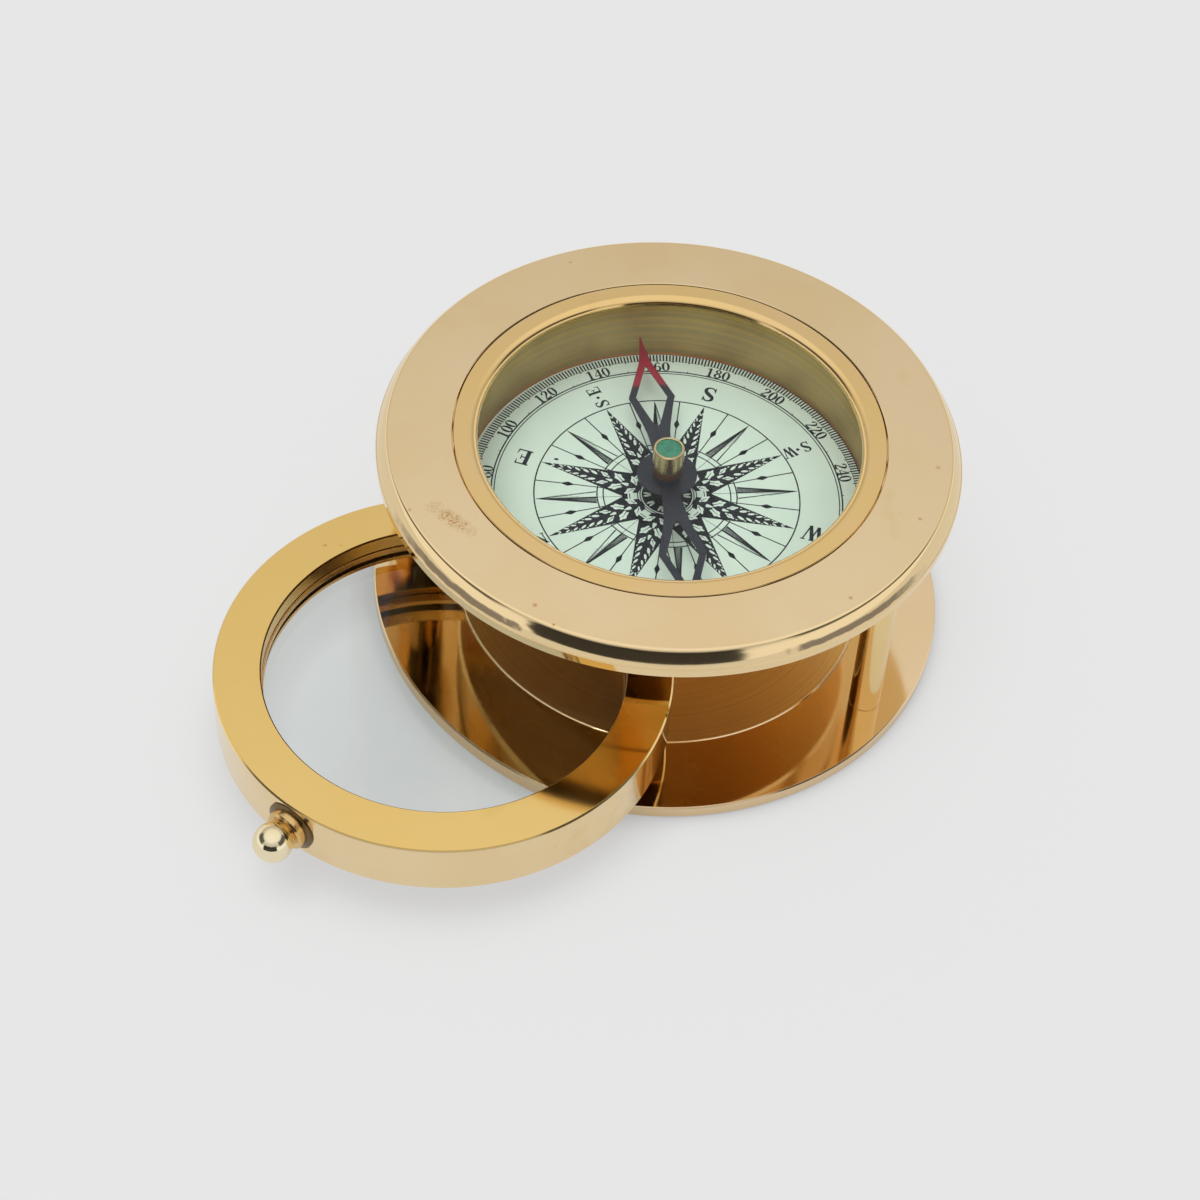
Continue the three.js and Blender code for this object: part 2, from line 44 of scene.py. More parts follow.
# Heights, from the base upwards
BASE_TOP = 2.0
RING_FOOT = 6.3
LENS_FOOT = 8.45
RING_MIDDLE = 10.15
LENS_TOP = 10.65
LIP_FOOT = 11.75
RING_TOP = 14.0
BOWL_FOOT = 17.9
BOWL_FLOOR = 18.9
DIAL_FACE = 19.2
NEEDLE_FOOT = 23.15
NEEDLE_TOP = 23.4
CAP_FOOT = 24.95
ENAMEL_FOOT = 27.72
PLATE_FOOT = 28.0
CAP_TOP = 28.07
PLATE_LEDGE = 28.8
GLASS_FOOT = 29.0
GLASS_TOP = 30.4
PLATE_TOP = 31.6

# Radii
BASE_RADIUS = 38.1
PLATE_RADIUS = 37.9
SATIN_RADIUS = 27.26
BOWL_RADIUS = 27.4
FLANGE_RADIUS = 27.85
RING_RADIUS = 29.25
BORE_RADIUS = 24.4
LIP_RADIUS = 23.15
LENS_RADIUS = 24.28
LENS_SPHERE = 255.0
SLEEVE_RADIUS = 3.1
LUG_RADIUS = 4.0
SHAFT_RADIUS = 1.2

# The gap above and below the lug of the ring
PLAY = 0.12

# Places seen from above
POST_CIRCLE = 33.3
POST_ANGLES = {"right": -32.1, "back": 70.0, "pivot": 169.5}
NEEDLE_ANGLE = 100.4
RING_ANGLE = -79.7

# The knob, in distances from the middle of the ring
KNOB_ANGLE = -45.1
KNOB_SEAT = 29.05
KNOB_FRONT = 29.5
BALL_CENTRE = 32.5
BALL_RADIUS = 2.55


def on_circle(radius, angle):
    """The point at a radius and an angle in degrees."""
    turn = math.radians(angle)
    return radius * math.cos(turn), radius * math.sin(turn)


POSTS = {name: on_circle(POST_CIRCLE, angle) for name, angle in POST_ANGLES.items()}
PIVOT = POSTS["pivot"]
RING_REACH = on_circle(POST_CIRCLE, RING_ANGLE)
RING_CENTRE = (PIVOT[0] + RING_REACH[0], PIVOT[1] + RING_REACH[1])
RING_AXIS = (*RING_CENTRE, 0)

# Moves a shape that is drawn with the pivot at its origin and the ring along +X to its place
RING_TURN = Matrix.Rotation(math.radians(RING_ANGLE), 4, "Z")
RING_PLACE = Matrix.Translation((PIVOT[0] * MM, PIVOT[1] * MM, 0)) @ RING_TURN
RING_PLACE_MIDDLE = RING_PLACE @ Matrix.Translation((POST_CIRCLE * MM, 0, 0))


# Camera: it looks down on the front of the compass at about 49 degrees, a little tilted.
def make_camera():
    elevation, roll, distance = 48.9, 3.95, 380.94
    target = Vector((-7.59, -3.55, 2.0)) * MM
    turn = Matrix.Rotation(math.radians(90 - elevation), 4, "X") @ Matrix.Rotation(math.radians(roll), 4, "Z")
    camera = bpy.data.objects.new("camera", bpy.data.cameras.new("camera"))
    camera.data.sensor_width = 36.0
    camera.data.lens = 84.205
    camera.data.clip_start = 0.01
    camera.data.clip_end = 20.0
    camera.matrix_world = Matrix.Translation(target) @ turn @ Matrix.Translation((0, 0, distance * MM))
    bpy.context.scene.collection.objects.link(camera)
    bpy.context.scene.camera = camera


make_camera()


# Node helpers
def node(tree, kind, inputs=(), **settings):
    """Adds a node. An input is given by its name or number, and is a value or another node's output."""
    made = tree.nodes.new(kind)
    for key, value in settings.items():
        setattr(made, key, value)
    for key, value in dict(inputs).items():
        if isinstance(value, bpy.types.NodeSocket):
            tree.links.new(value, made.inputs[key])
        else:
            made.inputs[key].default_value = value
    return made


# In the helpers below the nodes go into the tree of the first output that is given.
def math_node(operation, *values):
    return node(values[0].id_data, "ShaderNodeMath", dict(enumerate(values)), operation=operation).outputs[0]


def times(first, second):
    return math_node("MULTIPLY", first, second)


def larger(first, second):
    return math_node("MAXIMUM", first, second)


def scaled(value, factor, added):
    """The value times a factor, with something added."""
    return math_node("MULTIPLY_ADD", value, factor, added)


def ramp(value, low, high, to_low=0.0, to_high=1.0):
    """Goes smoothly from one value to another while the input goes from low to high."""
    inputs = {0: value, 1: low, 2: high, 3: to_low, 4: to_high}
    return node(value.id_data, "ShaderNodeMapRange", inputs, interpolation_type="SMOOTHSTEP").outputs[0]


def turn_ramp(value, low, high, to_low=0.0, to_high=1.0):
    """The same for an angle, with both its ends in degrees."""
    return ramp(value, math.radians(low), math.radians(high), to_low, to_high)


def window(value, start, full, fading, end):
    """1 between two angles in degrees, with soft ends."""
    return times(turn_ramp(value, start, full), turn_ramp(value, fading, end, 1.0, 0.0))


def mixed(factor, first, second):
    """A colour between two colours."""
    made = node(factor.id_data, "ShaderNodeMix", {0: factor}, data_type="RGBA")
    colours = [socket for socket in made.inputs if socket.type == "RGBA"]
    for socket, value in zip(colours, (first, second)):
        if isinstance(value, bpy.types.NodeSocket):
            factor.id_data.links.new(value, socket)
        else:
            socket.default_value = (*value, 1)
    return next(socket for socket in made.outputs if socket.type == "RGBA")


def between(factor, first, second):
    """A number between two numbers, as far along as the factor says."""
    inputs = {0: factor, 2: first, 3: second}
    return node(factor.id_data, "ShaderNodeMix", inputs, data_type="FLOAT").outputs[0]


def noise(vector, scale, detail=2.0, roughness=0.5):
    inputs = {"Vector": vector, "Scale": scale, "Detail": detail, "Roughness": roughness}
    return node(vector.id_data, "ShaderNodeTexNoise", inputs).outputs[0]


def split(vector):
    """The x, y and z of a vector."""
    return node(vector.id_data, "ShaderNodeSeparateXYZ", {0: vector}).outputs


def shader_group(name, inputs, outputs):
    """Makes an empty shader group that takes a vector and named numbers."""
    group = bpy.data.node_groups.new(name, "ShaderNodeTree")
    group.interface.new_socket("Vector", in_out="INPUT", socket_type="NodeSocketVector")
    for label, value in inputs.items():
        socket = group.interface.new_socket(label, in_out="INPUT", socket_type="NodeSocketFloat")
        socket.default_value = value
    for label in outputs:
        group.interface.new_socket(label, in_out="OUTPUT", socket_type="NodeSocketFloat")
    return group, group.nodes.new("NodeGroupInput").outputs, group.nodes.new("NodeGroupOutput").inputs


def polish_marks():
    """Fine rubbed lines in two directions and cloudy patches left by a polishing cloth."""
    group, given, result = shader_group("polish marks", {"Lines": 900.0, "Clouds": 45.0}, ["Lines", "Clouds"])
    lines = []
    for turn, offset in ((0.35, 0.0), (-0.8, 3.1)):
        way = {"Vector": given["Vector"], "Rotation": (0.3, 0.2, turn), "Scale": (0.05, 1.0, 0.6)}
        laid = node(group, "ShaderNodeMapping", way).outputs[0]
        inputs = {"Vector": laid, "W": offset, "Scale": given["Lines"], "Detail": 3.0, "Roughness": 0.7}
        rubbed = node(group, "ShaderNodeTexNoise", inputs, noise_dimensions="4D").outputs[0]
        lines.append(ramp(rubbed, 0.55, 0.75))
    clouds = noise(given["Vector"], given["Clouds"], 4.0, 0.6)
    group.links.new(larger(*lines), result["Lines"])
    group.links.new(ramp(clouds, 0.35, 0.7), result["Clouds"])
    return group


def tarnish():
    """Small dull spots and blotches where the metal has been touched."""
    group, given, result = shader_group("tarnish", {"Blotches": 60.0, "Spots": 260.0}, ["Blotches", "Spots"])
    blotch = noise(given["Vector"], given["Blotches"], 6.0, 0.65)
    cells = node(group, "ShaderNodeTexVoronoi", {"Vector": given["Vector"], "Scale": given["Spots"]})
    rare = node(group, "ShaderNodeSeparateColor", {0: cells.outputs["Color"]})
    near = ramp(cells.outputs["Distance"], 0.05, 0.12, 1.0, 0.0)
    some = ramp(rare.outputs[0], 0.93, 0.95)
    group.links.new(ramp(blotch, 0.58, 0.72), result["Blotches"])
    group.links.new(times(near, some), result["Spots"])
    return group


def turned_grain():
    """The fine rings that a lathe tool leaves round the axis through the vector's origin."""
    group, given, result = shader_group("turned grain", {"Rings": 9000.0}, ["Height", "Radius"])
    parts = split(given["Vector"])
    flat = node(group, "ShaderNodeCombineXYZ", {0: parts[0], 1: parts[1], 2: 0.0})
    radius = node(group, "ShaderNodeVectorMath", {0: flat.outputs[0]}, operation="LENGTH").outputs["Value"]
    along = math_node("ADD", radius, times(parts[2], 0.7))
    inputs = {"W": times(along, given["Rings"]), "Scale": 1.0, "Detail": 2.0}
    rings = node(group, "ShaderNodeTexNoise", inputs, noise_dimensions="1D").outputs[0]
    group.links.new(rings, result["Height"])
    group.links.new(radius, result["Radius"])
    return group


POLISH = polish_marks()
TARNISH = tarnish()
GRAIN = turned_grain()


def use_group(group, vector, **values):
    """Adds one of the groups above, and returns its outputs."""
    return node(vector.id_data, "ShaderNodeGroup", {"Vector": vector, **values}, node_tree=group).outputs


def new_material(name, centre=(0, 0, 0), **sockets):
    """A material with one Principled shader; the sockets named here are set on the shader itself. With it
    come the object coordinates, with their origin moved to a centre given in millimetres."""
    material = bpy.data.materials.new(name)
    material.use_nodes = True
    tree = material.node_tree
    tree.nodes.clear()
    shader = node(tree, "ShaderNodeBsdfPrincipled")
    for key, value in sockets.items():
        shader.inputs[key.replace("_", " ").title().replace("Ior", "IOR")].default_value = value
    node(tree, "ShaderNodeOutputMaterial", {"Surface": shader.outputs[0]})
    place = node(tree, "ShaderNodeTexCoord").outputs["Object"]
    shift = tuple(-value * MM for value in centre)
    return material, shader, node(tree, "ShaderNodeMapping", {"Vector": place, "Location": shift}).outputs[0]


def share_surface(share, shader, other):
    """Lets another shader take a share of the surface."""
    tree = share.id_data
    both = node(tree, "ShaderNodeMixShader", {0: share, 1: shader.outputs[0], 2: other.outputs[0]})
    output = next(item for item in tree.nodes if item.type == "OUTPUT_MATERIAL")
    tree.links.new(both.outputs[0], output.inputs["Surface"])


def join(output, shader, socket):
    output.id_data.links.new(output, shader.inputs[socket])


def paint(shader, colour, roughness):
    """Joins a colour and a roughness to a shader."""
    join(colour, shader, "Base Color")
    join(roughness, shader, "Roughness")


def add_bump(shader, height, strength, distance):
    inputs = {"Height": height, "Strength": strength, "Distance": distance}
    join(node(height.id_data, "ShaderNodeBump", inputs).outputs[0], shader, "Normal")


def shade_of(colour, red, green, blue):
    """A colour with its three parts made weaker or stronger."""
    return colour[0] * red, colour[1] * green, colour[2] * blue


def worn_places(place, places):
    """Brown marks where the finish is gone: x, y, z and reach in millimetres, and how strong each one is."""
    patchy = ramp(noise(place, 3200.0, 6.0, 0.65), 0.38, 0.66)
    whole = None
    for x, y, z, reach, strength in places:
        inputs = {0: place, 1: (x * MM, y * MM, z * MM)}
        away = node(place.id_data, "ShaderNodeVectorMath", inputs, operation="DISTANCE").outputs["Value"]
        near = ramp(away, reach * 0.2 * MM, reach * MM, strength, 0.0)
        whole = near if whole is None else larger(whole, near)
    return times(whole, patchy)


def edge_streaks(place):
    """Painted reflection: a dull brown streak low on the slope of the plate's edge, at the front left and the
    front right, painted where the slope would mirror dark surroundings.
    """
    drift = noise(place, 420.0, 5.0)
    parts = split(place)
    turn = math_node("ARCTAN2", parts[0], times(parts[1], -1.0))
    uneven = scaled(drift, 0.3, math_node("SUBTRACT", turn, 0.15))
    height = scaled(drift, 0.6 * MM, math_node("SUBTRACT", parts[2], 0.3 * MM))
    along = larger(window(uneven, -66, -52, -31, -28), window(uneven, 24, 28, 48, 62))
    over = ramp(height, 29.45 * MM, 29.65 * MM)
    under = ramp(height, 30.25 * MM, 30.5 * MM, 0.85, 0.0)
    return times(along, times(over, under))


def brass(
    name, colour, dull, roughness, rough_more, centre=(0, 0, 0), stain=0.35,
    second=None, places=(), edge_reflection_painted=False, painted_shade_line=None,
):
    """Polished brass. Where the cloth left clouds the colour goes towards dull and the gloss falls off.
    The second finish, if given, is a function that returns a mask with its colour and roughness. The painted
    shade line, if given, is painted shade: a dark line drawn round the mouth of a hole, inside a radius and
    above a height."""
    material, shader, place = new_material(name, centre, metallic=1.0)
    marks = use_group(POLISH, place)
    spots = use_group(TARNISH, place)
    base = mixed(times(marks["Clouds"], 0.8), colour, dull)
    rough = ramp(marks["Clouds"], 0.0, 1.0, roughness, roughness + rough_more)
    height = marks["Lines"]
    if second:
        mask, band, other_height, streaky = second(place)
        other = band["colour"]
        cloudy = mixed(marks["Clouds"], other, shade_of(other, 0.97, 0.94, 0.86))
        cloudy = mixed(streaky, cloudy, shade_of(other, 0.70, 0.66, 0.60))
        base = mixed(mask, base, cloudy)
        rough = between(mask, rough, band["rough"])
        height = between(mask, height, times(other_height, band["depth"]))
    brown = shade_of(colour, 0.55, 0.32, 0.12)
    touched = times(spots["Blotches"], stain)
    base = mixed(touched, base, shade_of(colour, 0.86, 0.8, 0.62))
    base = mixed(times(spots["Spots"], stain * 1.6), base, brown)
    rough = scaled(touched, 0.12, rough)
    # Painted reflection: a dark brown streak low on the slope of the plate's edge.
    if edge_reflection_painted:
        dark = edge_streaks(place)
        base = mixed(dark, base, (0.20, 0.145, 0.10))
        rough = scaled(dark, 0.1, rough)
    if places:
        gone = worn_places(place, places)
        base = mixed(gone, base, brown)
        rough = scaled(gone, 0.2, rough)
    # Painted shade: a dark line round the mouth of the hole, inside a radius and above a height.
    if painted_shade_line:
        radius, level = painted_shade_line
        distance = use_group(GRAIN, place)["Radius"]
        inside = ramp(distance, radius * MM, (radius + 0.03) * MM, 1.0, 0.0)
        above = ramp(split(place)[2], level * MM, (level + 0.03) * MM)
        base = mixed(times(inside, above), base, (0.11, 0.06, 0.025))
        rough = scaled(inside, 0.16, rough)
    paint(shader, base, rough)
    add_bump(shader, height, 0.02, 0.02 * MM)
    return material


def turned_band(place, band, mask):
    """What a second finish passes on: its mask, itself, its grain and its broad darker rings."""
    grain = use_group(GRAIN, place, Rings=band["rings"])
    broad = use_group(GRAIN, place, Rings=band["rings"] / 4)
    streaky = ramp(broad["Height"], 0.38, 0.66, 0.0, band["streaks"])
    return mask(grain["Radius"]), band, grain["Height"], streaky


def inside_radius(radius, height, band):
    """A second finish on the part of a face inside a radius and above a height, both in millimetres."""

    def finish(place):
        high = ramp(split(place)[2], (height - 0.04) * MM, (height + 0.04) * MM)
        ends = ((radius - 0.04) * MM, (radius + 0.04) * MM, 1.0, 0.0)
        return turned_band(place, band, lambda distance: times(ramp(distance, *ends), high))

    return finish


def outside_radius(radius, band):
    """A second finish on the outer wall of a ring, outside a radius in millimetres."""

    def finish(place):
        ends = ((radius - 0.05) * MM, (radius + 0.02) * MM)
        return turned_band(place, band, lambda distance: ramp(distance, *ends))

    return finish


RING_SIDE = {"colour": (0.86, 0.68, 0.41), "rough": 0.12, "rings": 4000.0, "depth": 0.3, "streaks": 0.0}
KNOB_BALL = {"colour": (0.90, 0.80, 0.56), "rough": 0.05, "rings": 4000.0, "depth": 0.2, "streaks": 0.0}
PLATE_FLAT = {"colour": (0.83, 0.64, 0.385), "rough": 0.17, "rings": 5000.0, "depth": 0.2, "streaks": 0.0}
SATIN_DISC = {"colour": (0.88, 0.63, 0.27), "rough": 0.34, "rings": 12000.0, "depth": 3.0, "streaks": 0.32}

PLATE_MARKS = (
    (-27.4, -17.1, 31.6, 1.5, 0.95), (-26.4, -17.9, 31.6, 1.6, 0.95), (-25.3, -18.7, 31.6, 1.4, 0.8),
    (-28.9, -15.9, 31.6, 1.6, 0.4), (-24.1, -19.6, 31.6, 1.2, 0.4), (-32.1, -16.7, 31.6, 0.35, 1.6),
    (31.9, -12.2, 31.6, 0.35, 1.4), (-14.8, 31.0, 31.6, 0.3, 1.4), (-22.5, -30.0, 29.6, 0.35, 1.8),
    (-13.0, -33.8, 31.5, 0.3, 1.5),
)
BEZEL_MARKS = ((25.2, 4.0, 31.2, 0.5, 0.6), (25.3, 2.2, 31.2, 0.4, 0.6), (25.4, -0.1, 31.2, 0.4, 0.6))
RING_MARKS = ((-17.4, 18.9, 14.0, 0.4, 0.9), (-15.3, 19.1, 14.0, 0.3, 0.9))

# The plate's brass carries a painted reflection, a dark streak on the slope of its edge.
PLATE_BRASS = brass(
    "plate brass", (0.86, 0.66, 0.36), (0.84, 0.65, 0.38), 0.05, 0.05,
    second=inside_radius(36.3, 31.5, PLATE_FLAT), places=PLATE_MARKS, edge_reflection_painted=True,
)
BASE_BRASS = brass(
    "base brass", (0.82, 0.61, 0.37), (0.80, 0.59, 0.34), 0.045, 0.05,
    second=inside_radius(SATIN_RADIUS, 1.5, SATIN_DISC),
)
BEZEL_BRASS = brass("bezel brass", (0.81, 0.56, 0.23), (0.80, 0.57, 0.29), 0.09, 0.05, places=BEZEL_MARKS)
# The ring's brass carries painted shade, a dark line round the mouth of its bore.
RING_BRASS = brass(
    "ring brass", (0.79, 0.54, 0.18), (0.80, 0.56, 0.21), 0.06, 0.05, RING_AXIS,
    second=outside_radius(29.2, RING_SIDE), places=RING_MARKS, painted_shade_line=(LIP_RADIUS + 0.13, RING_TOP - 0.22),
)
POST_BRASS = brass("post brass", (0.86, 0.66, 0.34), (0.80, 0.58, 0.26), 0.08, 0.06)
KNOB_BRASS = brass(
    "knob brass", (0.74, 0.50, 0.22), (0.66, 0.44, 0.18), 0.10, 0.06, RING_AXIS,
    second=outside_radius(30.75, KNOB_BALL),
)
# Painted shade: the knob's collar is nearly black brown, standing for the shade in the recess round the
# knob's foot.
KNOB_COLLAR_PAINTED_SHADE = brass("knob collar painted shade", (0.16, 0.11, 0.055), (0.24, 0.16, 0.07), 0.22, 0.12, stain=0.2)
CAP_BRASS = brass("cap brass", (0.66, 0.50, 0.27), (0.60, 0.42, 0.22), 0.22, 0.08)
SCREW_BRASS = brass("screw brass", (0.74, 0.54, 0.26), (0.62, 0.42, 0.18), 0.24, 0.10, stain=0.5)


def satin_brass(name, colour, roughness, rings, depth, centre=(0, 0, 0), outer=None):
    """Brass left as it came off the lathe. The outside of the bowl may be brighter than the inside."""
    material, shader, place = new_material(name, centre, metallic=1.0)
    grain = use_group(GRAIN, place, Rings=rings)
    marks = use_group(POLISH, place, Clouds=80.0)
    darker = shade_of(colour, 0.82, 0.8, 0.76)
    base = mixed(marks["Clouds"], colour, darker)
    base = mixed(ramp(grain["Height"], 0.35, 0.75), base, darker)
    bands = use_group(GRAIN, place, Rings=rings / 5)
    golden = shade_of(colour, 1.12, 0.98, 0.78)
    base = mixed(ramp(bands["Height"], 0.4, 0.65, 0.0, 0.8), base, golden)
    rough = ramp(marks["Clouds"], 0.0, 1.0, roughness, roughness + 0.1)
    if outer:
        height = split(place)[2]
        below = ramp(height, 18.40 * MM, 18.45 * MM, 1.0, 0.0)
        around = ramp(grain["Radius"], 27.0 * MM, 27.1 * MM)
        outside = larger(below, around)
        by_the_card = ramp(height, 19.45 * MM, 19.65 * MM, 1.0, 0.0)
        base = mixed(by_the_card, base, (0.80, 0.36, 0.13))
        base = mixed(outside, base, outer)
        rough = scaled(outside, -0.2, rough)
    paint(shader, base, rough)
    add_bump(shader, grain["Height"], depth, 0.02 * MM)
    return material


BOWL_OUTSIDE = (0.80, 0.57, 0.27)
BOWL_BRASS = satin_brass("bowl brass", (0.56, 0.405, 0.185), 0.42, 7000.0, 0.25, outer=BOWL_OUTSIDE)
TURNED_BRASS = satin_brass("turned brass", (0.74, 0.50, 0.20), 0.2, 6000.0, 0.15, RING_AXIS)


def glass(name, tint, cloud, shine):
    """Clear glass. Light that only passes through on its way to or from a dull surface goes straight on."""
    clear = {"transmission_weight": 1.0, "ior": 1.5, "specular_tint": (shine, shine, shine, 1)}
    material, shader, place = new_material(name, **clear)
    marks = use_group(POLISH, place, Lines=500.0, Clouds=70.0)
    paint(shader, mixed(marks["Clouds"], tint, cloud), ramp(marks["Lines"], 0.0, 1.0, 0.0, 0.02))
    path = node(shader.id_data, "ShaderNodeLightPath").outputs
    straight = larger(path["Is Shadow Ray"], path["Is Diffuse Ray"])
    share_surface(straight, shader, node(shader.id_data, "ShaderNodeBsdfTransparent", {0: (*tint, 1)}))
    return material


COMPASS_GLASS = glass("compass glass", (0.97, 0.99, 0.98), (0.95, 0.98, 0.97), 0.1)
LENS_GLASS = glass("lens glass", (0.87, 0.905, 0.895), (0.84, 0.875, 0.87), 0.7)


def dial_paper():
    """Pale printed card with a faint mottle."""
    material, shader, place = new_material("dial paper", roughness=0.62, specular_ior_level=0.3)
    mottle = noise(place, 240.0, 5.0)
    tone = mixed(ramp(mottle, 0.3, 0.7), (0.70, 0.82, 0.71), (0.73, 0.84, 0.73))
    paint(shader, tone, ramp(mottle, 0.2, 0.8, 0.55, 0.7))
    add_bump(shader, noise(place, 2600.0, 3.0), 0.1, 0.01 * MM)
    return material


def printed(name, dark, light, roughness):
    """Ink or white printed on the card, a little uneven."""
    material, shader, place = new_material(name, specular_ior_level=0.35)
    spread = noise(place, 1400.0, 4.0)
    tone = mixed(ramp(spread, 0.35, 0.75), dark, light)
    paint(shader, tone, ramp(spread, 0.3, 0.8, roughness, roughness + 0.15))
    add_bump(shader, spread, 0.1, 0.004 * MM)
    return material


DIAL_PAPER = dial_paper()
DIAL_INK = printed("dial ink", (0.006, 0.008, 0.012), (0.014, 0.017, 0.022), 0.5)
DIAL_WHITE = printed("dial white", (0.70, 0.80, 0.71), (0.76, 0.86, 0.76), 0.6)


def needle_paint():
    """Blued steel, with red paint from the point back to where the prongs open."""
    material, shader, place = new_material("needle steel", specular_ior_level=0.4)
    turned_back = {"Vector": place, "Rotation": (0, 0, math.radians(-NEEDLE_ANGLE))}
    along = node(place.id_data, "ShaderNodeMapping", turned_back).outputs[0]
    marks = use_group(POLISH, place, Lines=2200.0, Clouds=180.0)
    uneven = scaled(marks["Clouds"], 0.6 * MM, split(along)[0])
    red = ramp(uneven, 15.8 * MM, 16.8 * MM)
    steel = mixed(marks["Clouds"], (0.012, 0.014, 0.024), (0.022, 0.023, 0.034))
    painted = mixed(marks["Clouds"], (0.30, 0.012, 0.026), (0.20, 0.010, 0.020))
    paint(shader, mixed(red, steel, painted), ramp(marks["Clouds"], 0.0, 1.0, 0.3, 0.42))
    add_bump(shader, marks["Lines"], 0.08, 0.01 * MM)
    return material


def collar_copper():
    """Copper-coloured collar of the needle. Its reddish brown is partly painted shade, and it goes darker
    towards the needle under the cap.
    """
    material, shader, place = new_material("collar copper and painted shade")
    marks = use_group(POLISH, place, Lines=2600.0, Clouds=300.0)
    # Painted shade: the collar goes near black and less metallic towards the needle, under the cap.
    painted_shade_below = ramp(split(place)[2], NEEDLE_TOP * MM, (NEEDLE_TOP + 1.3) * MM, 1.0, 0.0)
    copper_and_shade_tone = mixed(marks["Clouds"], (0.42, 0.20, 0.09), (0.32, 0.14, 0.06))
    paint(shader, mixed(painted_shade_below, copper_and_shade_tone, (0.045, 0.035, 0.04)), ramp(marks["Lines"], 0.0, 1.0, 0.3, 0.4))
    join(ramp(painted_shade_below, 0.0, 1.0, 0.85, 0.1), shader, "Metallic")
    return material


def green_enamel():
    """Green enamel with a slightly darker middle."""
    material, shader, place = new_material("green enamel", coat_weight=0.4, coat_roughness=0.08)
    cloudy = noise(place, 900.0, 4.0)
    radius = use_group(GRAIN, place, Rings=2000.0)["Radius"]
    base = mixed(ramp(cloudy, 0.3, 0.7), (0.012, 0.17, 0.085), (0.022, 0.24, 0.13))
    middle = ramp(radius, 0.3 * MM, 0.9 * MM, 0.35, 0.0)
    paint(shader, mixed(middle, base, (0.008, 0.09, 0.05)), ramp(cloudy, 0.2, 0.8, 0.2, 0.35))
    return material


def pin_steel():
    material, shader, place = new_material("pin steel", metallic=1.0)
    grain = use_group(GRAIN, place, Rings=15000.0)["Height"]
    tone = mixed(ramp(grain, 0.3, 0.7), (0.45, 0.45, 0.46), (0.6, 0.6, 0.6))
    paint(shader, tone, ramp(grain, 0.2, 0.8, 0.22, 0.34))
    return material


def jewel_red():
    material, shader, place = new_material("jewel red", specular_ior_level=0.8)
    deep = noise(place, 700.0)
    tone = mixed(ramp(deep, 0.3, 0.7), (0.40, 0.02, 0.05), (0.28, 0.01, 0.03))
    paint(shader, tone, ramp(deep, 0.2, 0.8, 0.08, 0.16))
    return material


NEEDLE_PAINT = needle_paint()
# The needle's collar is copper-coloured with painted shade under the cap.
COLLAR_COPPER_AND_PAINTED_SHADE = collar_copper()
GREEN_ENAMEL = green_enamel()
PIN_STEEL = pin_steel()
JEWEL_RED = jewel_red()


# Mesh helpers
def arc(x, y, width, height, first, last, count):
    """Points of a round or squashed arc about (x, y), from one angle to another in degrees."""
    angles = [math.radians(first + (last - first) * i / count) for i in range(count + 1)]
    return [(x + width * math.cos(angle), y + height * math.sin(angle)) for angle in angles]


def eased(corners, steps=4, support=0.03):
    """A closed outline with its corners rounded. A corner is (radius, height) or (radius, height, round).
    Each straight stretch gets a point close to both of its ends, so that a flat face stays flat."""
    count = len(corners)
    rounded = []
    for i, corner in enumerate(corners):
        here = Vector(corner[:2])
        before = Vector(corners[i - 1][:2]) - here
        after = Vector(corners[(i + 1) % count][:2]) - here
        size = corner[2] if len(corner) > 2 else 0.0
        if size == 0.0 or before.length == 0 or after.length == 0:
            rounded.append([here])
            continue
        half = before.angle(after) / 2
        reach = min(size / math.tan(half), before.length * 0.45, after.length * 0.45)
        size = reach * math.tan(half)
        centre = here + (before.normalized() + after.normalized()).normalized() * (size / math.sin(half))
        start = here + before.normalized() * reach - centre
        finish = here + after.normalized() * reach - centre
        whole = start.angle(finish)
        bend = []
        for step in range(steps + 1):
            share = step / steps
            mix = start * math.sin((1 - share) * whole) + finish * math.sin(share * whole)
            bend.append(centre + mix / math.sin(whole))
        rounded.append(bend)
    points = []
    for i, bend in enumerate(rounded):
        points.extend(bend)
        start, finish = bend[-1], rounded[(i + 1) % count][0]
        stretch = finish - start
        if stretch.length > 8 * support:
            points.append(start + stretch.normalized() * support)
            points.append(finish - stretch.normalized() * support)
    return [(max(point[0], 0.0), point[1]) for point in points]


def turned(profile, sides, centre=(0, 0)):
    """Turns a closed profile of (radius, height) about an upright axis. A part of the profile that lies on
    the axis is left out, so the middle is solid there."""
    mesh = bmesh.new()
    rings = []
    for radius, height in profile:
        ring = []
        for i in range(1 if radius < 1e-6 else sides):
            x, y = on_circle(radius, 360 * i / sides)
            ring.append(mesh.verts.new(((x + centre[0]) * MM, (y + centre[1]) * MM, height * MM)))
        rings.append(ring)
    for lower, upper in zip(rings, rings[1:] + rings[:1]):
        if len(lower) == 1 and len(upper) == 1:
            continue
        for i in range(sides):
            corners = [lower[i % len(lower)], lower[(i + 1) % len(lower)]]
            corners += [upper[(i + 1) % len(upper)], upper[i % len(upper)]]
            mesh.faces.new(list(dict.fromkeys(corners)))
    return mesh


def add_object(name, mesh):
    """Links a bmesh to the scene as an object, with outward faces and smooth shading between sharp edges."""
    bmesh.ops.remove_doubles(mesh, verts=mesh.verts, dist=1e-7)
    bmesh.ops.recalc_face_normals(mesh, faces=mesh.faces)
    for face in mesh.faces:
        face.smooth = True
    for edge in mesh.edges:
        if len(edge.link_faces) == 2 and edge.calc_face_angle(0.0) > math.radians(28):
            edge.smooth = False
    data = bpy.data.meshes.new(name)
    mesh.to_mesh(data)
    mesh.free()
    made = bpy.data.objects.new(name, data)
    bpy.context.scene.collection.objects.link(made)
    return made


